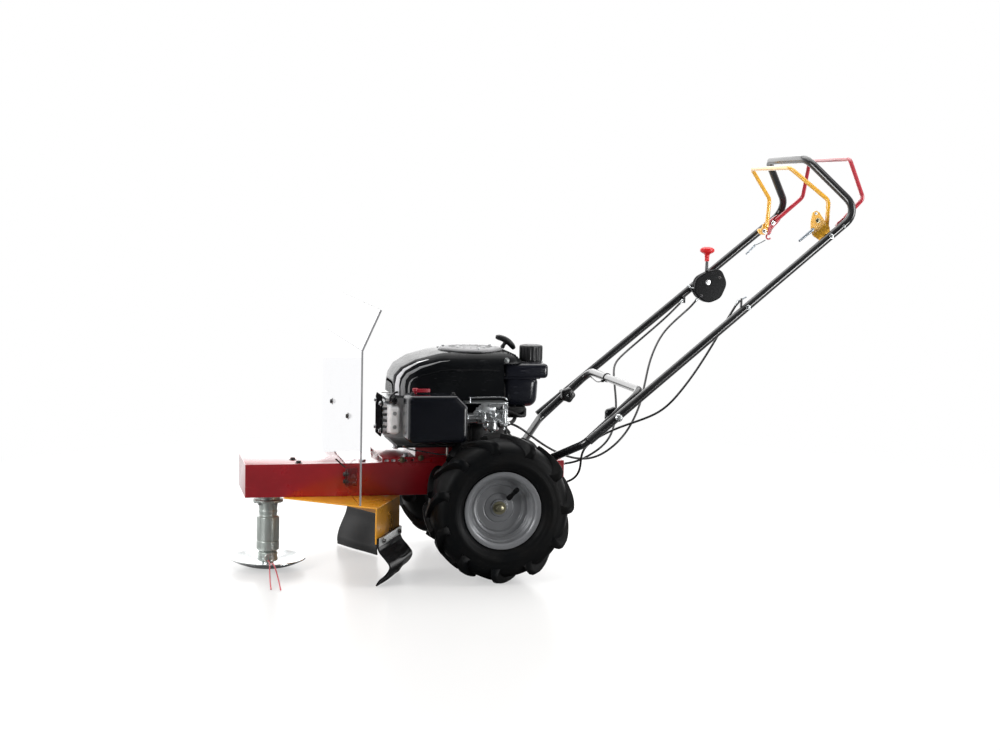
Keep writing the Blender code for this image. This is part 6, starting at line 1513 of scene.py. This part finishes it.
# BAILS
# Two squeeze bars of bent rod, dipped in yellow and red, hang on pins inside the grip's legs.
# Their laser-cut side plates pull the clutch and drive cables when a bar is held to the grip.
yellow_dip = finish("yellow_dipped_rod", (0.95, 0.50, 0.040), 0.26, second=(0.90, 0.44, 0.030),
                    worn=(0.90, 0.60, 0.20), dust=0.03, bump=0.00003, coat=1.0)
red_dip = finish("red_dipped_rod", (0.50, 0.026, 0.045), 0.28, second=(0.42, 0.018, 0.034),
                 worn=(0.60, 0.15, 0.16), dust=0.03, bump=0.00003, coat=1.0)
BAILS = (
    ("yellow", yellow_dip, "yellow_paint", YELLOW_PIN, 0.190,
     [(0.7665, 0.184, 0.792), (0.7700, 0.181, 0.862), (0.697, 0.122, 0.935)],
     [(-0.0370, 0.010), (-0.0300, -0.002), (-0.0150, -0.011), (0.002, -0.009), (0.0105, 0.003),
      (0.0090, 0.0195), (-0.0085, 0.040), (-0.0180, 0.053), (-0.0260, 0.057), (-0.0345, 0.052),
      (-0.0380, 0.030)],
     [(-0.020, 0.004), (-0.012, -0.008), (0.002, -0.009), (0.009, 0), (0.009, 0.020),
      (-0.003, 0.020), (-0.006, 0.008)]),
    ("red", red_dip, "red_bar_paint", RED_PIN, 0.199,
     [(0.794, 0.193, 0.8085), (0.857, 0.178, 0.868), (0.847, 0.118, 0.9585)],
     [(-0.010, -0.008), (0.004, -0.010), (0.016, 0.002), (0.024, 0.014), (0.014, 0.022),
      (-0.002, 0.010)],
     [(-0.009, 0.006), (-0.0125, -0.018), (-0.0135, -0.028), (-0.0045, -0.0285), (-0.002, -0.018),
      (0.004, -0.010), (0.016, 0.002), (0.024, 0.014), (0.014, 0.022), (-0.002, 0.012)]),
)
for colour, dip, paint, pin_back, side_at, half, left_plate, right_plate in BAILS:
    path = both_sides(half)
    bar = swept(bmesh.new(), bent(path, 0.018), 0.0052, 20)
    pin = leg_point(pin_back, 1)
    for side, plate in ((-1, left_plate), (1, right_plate)):
        base = Vector((pin.x, side * side_at + 0.002, pin.z))
        flat_piece(bar, eased(plate, 0.0045, True, 4), base, 0.004)
        end = at(half[0][0], side * half[0][1], half[0][2])
        swept(bar, [end, end + (path[1] - path[0]).normalized() * 0.001], 0.0052, 20)
        ring_of(bar, Vector((pin.x, side * (side_at - 0.0022), pin.z)), (0, 1, 0), 0.0048, 0.0009,
                32, 8)
        if (colour, side) == ("red", 1):
            hook = base + Vector((-0.0090, -0.0010, -0.0350))
            swept(bar, [hook + Vector((0.0062 * math.cos(a), 0, 0.0062 * math.sin(a)))
                        for a in (math.radians(70 + 15 * i) for i in range(18))], 0.0021, 12)
    node = colour + "_bail"
    piece(node + "_rod", bar, dip, node, node, slot=paint, bevel=0.0003, angle=0.8)
pin = leg_point(YELLOW_PIN, 1)
bolts("bell_crank_bolt", "yellow_bail", [
    (Vector((pin.x - 0.0205, -0.1920, pin.z + 0.0340)), (0, -1, 0))],
    0.0040, 0.0030, 0.0060, brass_zinc)
bolts("bell_crank_rivet", "yellow_bail", [
    (Vector((pin.x - 0.0258, -0.1920, pin.z + 0.0500)), (0, -1, 0))],
    0.0024, 0.0018, 0.0034, bright_zinc)
for colour, _, _, pin_back, side_at, *_ in BAILS:
    for side_name, side in SIDES:
        spot = leg_point(pin_back, side)
        bolts(colour + "_pin_nut_" + side_name, "handle", [
            (Vector((spot.x, side * (side_at - 0.0042), spot.z)), (0, -side, 0))],
            0.0040, 0.0030, 0.0060, bright_zinc)
grey_rod = finish("cable_end_steel", (0.36, 0.40, 0.44), 0.34, 0.9, second=(0.26, 0.29, 0.32),
                  dust=0.04, grain=1500.0)
ends = rod(bmesh.new(), [(0.6954, -0.1955, 0.7678), (0.7090, -0.1955, 0.7788),
                         (0.7285, -0.1955, 0.7945)], [0.0028, 0.0032, 0.0036], 14)
rod(ends, [(0.7285, -0.1955, 0.7945), (0.7285, -0.1925, 0.7945)], 0.0036, 14)
piece("clutch_rod_end", ends, grey_rod, "yellow_bail", slot="zinc")
ends = rod(bmesh.new(), [(0.7186, 0.195, 0.7230), (0.7310, 0.195, 0.7352),
                         (0.7418, 0.195, 0.7462)], [0.0022, 0.0022, 0.0028], 12)
rod(ends, [(0.7418, 0.195, 0.7462), (0.7560, 0.196, 0.7520), (0.7700, 0.1985, 0.7590)],
    0.0012, step=0.003)
piece("drive_rod_end", ends, grey_rod, "red_bail", slot="zinc")
silver_pin = bmesh.new()
spot = leg_point(0.790, -1)
ring_of(silver_pin, spot + Vector((0, -0.0105, 0)), (0, 1, 0), 0.0028, 0.0009, 24, 6)
piece("leg_pin", silver_pin, bright_zinc, "handle", slot="zinc")


# THROTTLE
# A moulded box clipped inside the far leg holds a pivoted steel lever in its slot.
# The lever ends in a red mushroom knob, and its bolt shows bright on the near face.
BOX_SIDE = 0.1994
BOX_MIDDLE = (0.6245, 0.6440)
HUB = (0.6166, 0.6512)
outline = eased([
    (0.5850, 0.6620), (0.5815, 0.6200), (0.6190, 0.5975), (0.6530, 0.6115), (0.6690, 0.6490),
    (0.6515, 0.6870), (0.6175, 0.6790)], 0.030, True, 8)


def outline_reach(turn):
    """The outline's distance from the lever's pivot, in a direction turned from straight up."""
    way = Vector((math.sin(turn), math.cos(turn)))
    best = 0.0
    for corner, following in zip(outline, outline[1:] + outline[:1]):
        start, run = corner - Vector(HUB), following - corner
        down = way.x * run.y - way.y * run.x
        if abs(down) > 1e-9:
            t = (way.y * start.x - way.x * start.y) / down
            if -1e-6 <= t <= 1 + 1e-6:
                best = max(best, (start + run * t).dot(way))
    return best


box = bmesh.new()
for outer, inner in ((-0.0120, -0.0031), (0.0120, 0.0031)):
    levels = [(outer, 0.90), (outer * 0.985, 0.955), (outer * 0.92, 0.988), (outer * 0.80, 1.0),
              (inner, 1.0)]
    skin(box, [[box.verts.new(at(BOX_MIDDLE[0] + (back - BOX_MIDDLE[0]) * share, BOX_SIDE + out,
                                 BOX_MIDDLE[1] + (up - BOX_MIDDLE[1]) * share))
                for back, up in outline] for out, share in levels], ends=True)
turns = [math.radians(42 + 6 * i) for i in range(43)]
web = [(turn, outline_reach(turn) - 0.0012) for turn in turns]
web += [(turn, 0.0125) for turn in turns[::-1]]
flat_piece(box, [(HUB[0] + math.sin(turn) * reach, HUB[1] + math.cos(turn) * reach)
                 for turn, reach in web], at(0, BOX_SIDE + 0.0033, 0), 0.0066)
throttle_black = finish("throttle_box_moulding", (0.0070, 0.0074, 0.0082), 0.44,
                        second=(0.010, 0.0104, 0.0112), worn=(0.05, 0.05, 0.055), dust=0.04,
                        grain=1500.0, level=0.12)
piece("throttle_box_moulding", box, throttle_black, "handle", "throttle_box", slot="black_plastic",
      angle=0.8)
strap = bmesh.new()
leg = leg_point(0.590, 1)
way = (leg_point(0.60, 1) - leg_point(0.58, 1)).normalized()
for shift in (-0.0100, -0.0078, 0.0060, 0.0082):
    ring_of(strap, leg + way * shift, way, 0.0108, 0.0013, sides=8)
boxed(strap, leg + Vector((-0.010, -0.0300, -0.0040)), leg + Vector((0.008, -0.0085, -0.0020)),
      0.0008, 1)
piece("throttle_clamp", strap, bright_zinc, "handle", slot="zinc", angle=0.8)
bolts("throttle_box_screws", "handle", [
    (at(back, BOX_SIDE - 0.012, up), (0, -1, 0)) for back, up in ((0.601, 0.618), (0.648, 0.664))],
    0.0026, 0.0016, 0.0038, dark_bolt)

lever = bmesh.new()
line = [(0, 0.052), (-0.0035, 0.052), (-0.0040, 0.030), (-0.005, 0.010), (-0.009, 0.003),
        (-0.009, -0.006), (-0.004, -0.010), (0.004, -0.010), (0.009, -0.006), (0.009, 0.003),
        (0.005, 0.010), (0.0040, 0.030), (0.0035, 0.052)]
hub = at(HUB[0], BOX_SIDE, HUB[1])
flat_piece(lever, eased(line, 0.002, True, 2), hub + Vector((0, 0.002, 0)), 0.004)
turned(lever, eased([(0, -0.015), (0.003, -0.015), (0.003, 0.0110), (0, 0.0110)], 0.0004),
       hub, (0, 1, 0), 28)
piece("throttle_lever_plate", lever, black_coat, "throttle", "throttle_lever", slot="black_plastic",
      bevel=0.0004)
screw = turned(bmesh.new(), eased([
    (0, 0.0165), (0.0016, 0.0165), (0.0022, 0.0158), (0.0050, 0.0158), (0.0066, 0.0150),
    (0.0070, 0.0140), (0.0070, 0.0123), (0, 0.0123)], 0.0004), hub, (0, -1, 0), 40)
silver_screw = finish("bright_screw", (0.80, 0.81, 0.82), 0.22, 0.7, second=(0.68, 0.69, 0.70),
                      dust=0.02, grain=1500.0)
piece("throttle_screw", screw, silver_screw, "throttle", slot="zinc", angle=0.8)
knob_red = finish("knob_red_moulding", (0.70, 0.018, 0.022), 0.24, second=(0.62, 0.012, 0.016),
                  worn=(0.7, 0.2, 0.2), dust=0.03, grain=1200.0, bump=0.00002)
knob = turned(bmesh.new(), eased([
    (0, 0.0370), (0.0065, 0.0366), (0.0125, 0.0350), (0.0172, 0.0320), (0.0187, 0.0284),
    (0.0178, 0.0242), (0.0138, 0.0210), (0.0088, 0.0187), (0.0064, 0.0160), (0.0055, 0.0060),
    (0.0058, 0.0010), (0.0050, 0), (0, 0)], 0.0016), hub + Vector((0, 0, 0.0523)))
piece("throttle_knob_moulding", knob, knob_red, "throttle", "throttle_knob", slot="red_plastic",
      angle=1.2)


# CABLES
# Three black-sheathed control cables hang in loose bows from the handlebar to the engine and beam.
# Each ends in bright ferrules.
sheath = finish("cable_sheath_vinyl", (0.0085, 0.0088, 0.0095), 0.28,
                second=(0.0130, 0.0133, 0.0140), worn=(0.05, 0.05, 0.055), dust=0.05,
                grain=1800.0, bump=0.00003)
CABLES = {
    "throttle": [(0.5973, 0.1994, 0.6131), (0.585, 0.1985, 0.595), (0.545, 0.18, 0.568),
                 (0.48, 0.12, 0.528), (0.43, 0.055, 0.474), (0.398, 0, 0.413),
                 (0.372, -0.04, 0.362), (0.324, -0.075, 0.3), (0.265, -0.078, 0.256),
                 (0.215, -0.082, 0.252), (0.165, -0.09, 0.268), (0.11, -0.112, 0.3),
                 (0.07, -0.122, 0.33), (0.046, -0.124, 0.3445), (0.0288, -0.124, 0.346)],
    "clutch": [(0.558, 0.204, 0.605), (0.545, 0.202, 0.592), (0.51, 0.197, 0.56),
               (0.441, 0.178, 0.508), (0.385, 0.15, 0.47), (0.354, 0.11, 0.449),
               (0.34, 0.05, 0.405), (0.33, 0, 0.36), (0.312, -0.04, 0.315),
               (0.285, -0.066, 0.283), (0.245, -0.066, 0.256), (0.214, -0.054, 0.238),
               (0.199, -0.05, 0.236), (0.181, -0.05, 0.236)],
    "drive": [(0.5443, -0.2206, 0.6309), (0.534, -0.214, 0.611), (0.518, -0.203, 0.575),
              (0.49, -0.186, 0.515), (0.452, -0.165, 0.444), (0.399, -0.15, 0.376),
              (0.345, -0.13, 0.347), (0.295, -0.118, 0.328), (0.245, -0.118, 0.304),
              (0.215, -0.115, 0.281), (0.213, -0.108, 0.257), (0.22, -0.102, 0.236),
              (0.213, -0.094, 0.212), (0.199, -0.083, 0.1975), (0.1816, -0.08, 0.196)],
}
BEND = ("chassis", "handle", Vector((0.0, 0.0, 0.27)), Vector((0.30, 0.0, 0.50)))
for name, points in CABLES.items():
    route = smooth_route([at(*point) for point in points], 0.006)
    for _ in range(26):
        route[1:-1] = [b.lerp(a.lerp(c, 0.5), 0.5) for a, b, c in zip(route, route[1:], route[2:])]
    piece(name + "_cable_sheath", swept(bmesh.new(), route, 0.0026, 14), sheath, BEND,
          name + "_cable", slot="cable_sheath")
    for tip, inner, body, where in ((route[0], route[3], "handle", "upper"),
                                    (route[-1], route[-4], "chassis", "lower")):
        way = (inner - tip).normalized()
        ferrule = turned(bmesh.new(), eased([
            (0.0027, 0), (0.0038, 0), (0.0038, 0.0080), (0.0033, 0.0086), (0.0033, 0.0130),
            (0.0027, 0.0130)], 0.0004, True, 2), tip - way * 0.001, way, 24, True)
        piece(name + "_ferrule_" + where, ferrule, bright_zinc, body, slot="zinc", angle=0.7)
adjuster = rod(bmesh.new(), [(0.5443, -0.2206, 0.6309), (0.5560, -0.2180, 0.6360),
                             (0.5640, -0.2160, 0.6400)], 0.0016, 10)
piece("drive_adjuster", adjuster, grey_rod, "handle", slot="zinc")


# STUDIO
# A plain pale floor under the machine, large soft lamps around it and the camera low at its left.
# The floor and the room show as white, and the floor keeps the machine's soft shadow.
def whitened(tree):
    """Light Path's outputs, and the share of rays that see the white room as it is."""
    rays = add(tree, "ShaderNodeLightPath").outputs
    return rays, maths(tree, rays["Is Camera Ray"], "MAXIMUM", rays["Is Transmission Ray"])


def plain_floor():
    """Matt pale floor with a faint shine, fading into the white room away from the machine."""
    material = bpy.data.materials.new("studio_floor")
    material.use_nodes = True
    tree = material.node_tree
    shader = tree.nodes["Principled BSDF"]
    shader.inputs["Roughness"].default_value = 0.24
    shader.inputs["Specular IOR Level"].default_value = 0.30
    rays, seen = whitened(tree)
    dull = blended(tree, rays["Is Glossy Ray"], (0.42, 0.42, 0.42, 1), (0.09, 0.09, 0.09, 1))
    tree.links.new(blended(tree, seen, dull, (0.88, 0.868, 0.85, 1)), shader.inputs["Base Color"])
    spot = add(tree, "ShaderNodeTexCoord").outputs["Object"]
    away = add(tree, "ShaderNodeVectorMath", {0: spot}, operation="LENGTH").outputs["Value"]
    back = add(tree, "ShaderNodeSeparateXYZ", {0: spot}).outputs["Y"]
    glow = add(tree, "ShaderNodeEmission", {"Color": (1, 1, 1, 1), "Strength": 1.0})
    share = maths(tree, times(tree, seen, span(tree, away, 0.75, 2.1, 0.5, 1.0)), "MAXIMUM",
                  times(tree, rays["Is Glossy Ray"], span(tree, back, -0.1, 0.9)))
    mixed = add(tree, "ShaderNodeMixShader", {0: share, 1: shader.outputs[0], 2: glow.outputs[0]})
    tree.links.new(mixed.outputs[0], tree.nodes["Material Output"].inputs["Surface"])
    return material


floor_mesh = bpy.data.meshes.new("studio_floor")
floor_mesh.from_pydata([(x, y, -0.0002) for x, y in ((-9, -7), (9, -7), (9, 9), (-9, 9))], [],
                       [(0, 1, 2, 3)])
floor_mesh.materials.append(plain_floor())
floor = bpy.data.objects.new("studio_floor", floor_mesh)
bpy.context.scene.collection.objects.link(floor)

room = bpy.data.worlds.new("studio_room")
room.use_nodes = True
tree = room.node_tree
tree.nodes.clear()
rays, seen = whitened(tree)
way = add(tree, "ShaderNodeSeparateXYZ", {0: add(tree, "ShaderNodeTexCoord").outputs["Generated"]})
behind = span(tree, way.outputs["Y"], -0.30, 0.55, 0.05, 0.72)
above = span(tree, way.outputs["Z"], 0.45, 0.95, 0.0, 0.45)
mirrored = times(tree, rays["Is Glossy Ray"], span(tree, way.outputs["Y"], 0.10, 0.60))
level = maths(tree, maths(tree, behind, "MAXIMUM", above), "MAXIMUM", mirrored)
dim = add(tree, "ShaderNodeBackground", {"Color": (1, 1, 1, 1), "Strength": level})
white = add(tree, "ShaderNodeBackground", {"Color": (1, 1, 1, 1), "Strength": 1.0})
both = add(tree, "ShaderNodeMixShader", {0: seen, 1: dim.outputs[0], 2: white.outputs[0]})
add(tree, "ShaderNodeOutputWorld", {"Surface": both.outputs[0]})
bpy.context.scene.world = room


def lamp(name, place, aim, size, power):
    light = bpy.data.lights.new(name, "AREA")
    light.shape = "RECTANGLE"
    light.size, light.size_y = size
    light.energy = power
    holder = bpy.data.objects.new(name, light)
    holder.location = place
    holder.rotation_euler = (Vector(aim) - Vector(place)).to_track_quat("-Z", "Y").to_euler()
    holder.visible_camera = False
    holder.visible_transmission = False
    bpy.context.scene.collection.objects.link(holder)


lamp("top_panel", (0.2, 0.6, 3.0), (0.0, 0.0, 0.3), (3.4, 2.6), 70)
lamp("front_left_panel", (-3.0, -1.5, 1.4), (-0.2, 0.0, 0.3), (1.6, 1.4), 70)
lamp("right_low_panel", (2.0, -2.2, 0.35), (-0.3, -0.1, 0.15), (1.1, 0.6), 34)
lamp("rear_right_panel", (2.6, -0.9, 1.6), (0.1, 0.0, 0.4), (1.0, 1.6), 34)
lamp("back_panel", (0.0, 3.2, 1.2), (0.0, 0.0, 0.3), (5.0, 2.2), 48)

camera = bpy.data.cameras.new("photograph_view")
camera.lens = 62.14
camera.sensor_width = 36.0
viewer = bpy.data.objects.new("photograph_view", camera)
turn = Matrix(((0.97424, -0.22448, 0.02169), (0.00244, 0.10663, 0.99430),
               (-0.22551, -0.96863, 0.10443))).transposed().to_4x4()
viewer.matrix_world = Matrix.Translation((-1.00604, -3.90472, 0.86078)) @ turn
bpy.context.scene.collection.objects.link(viewer)
bpy.context.scene.camera = viewer
bpy.context.scene.view_settings.view_transform = "Standard"
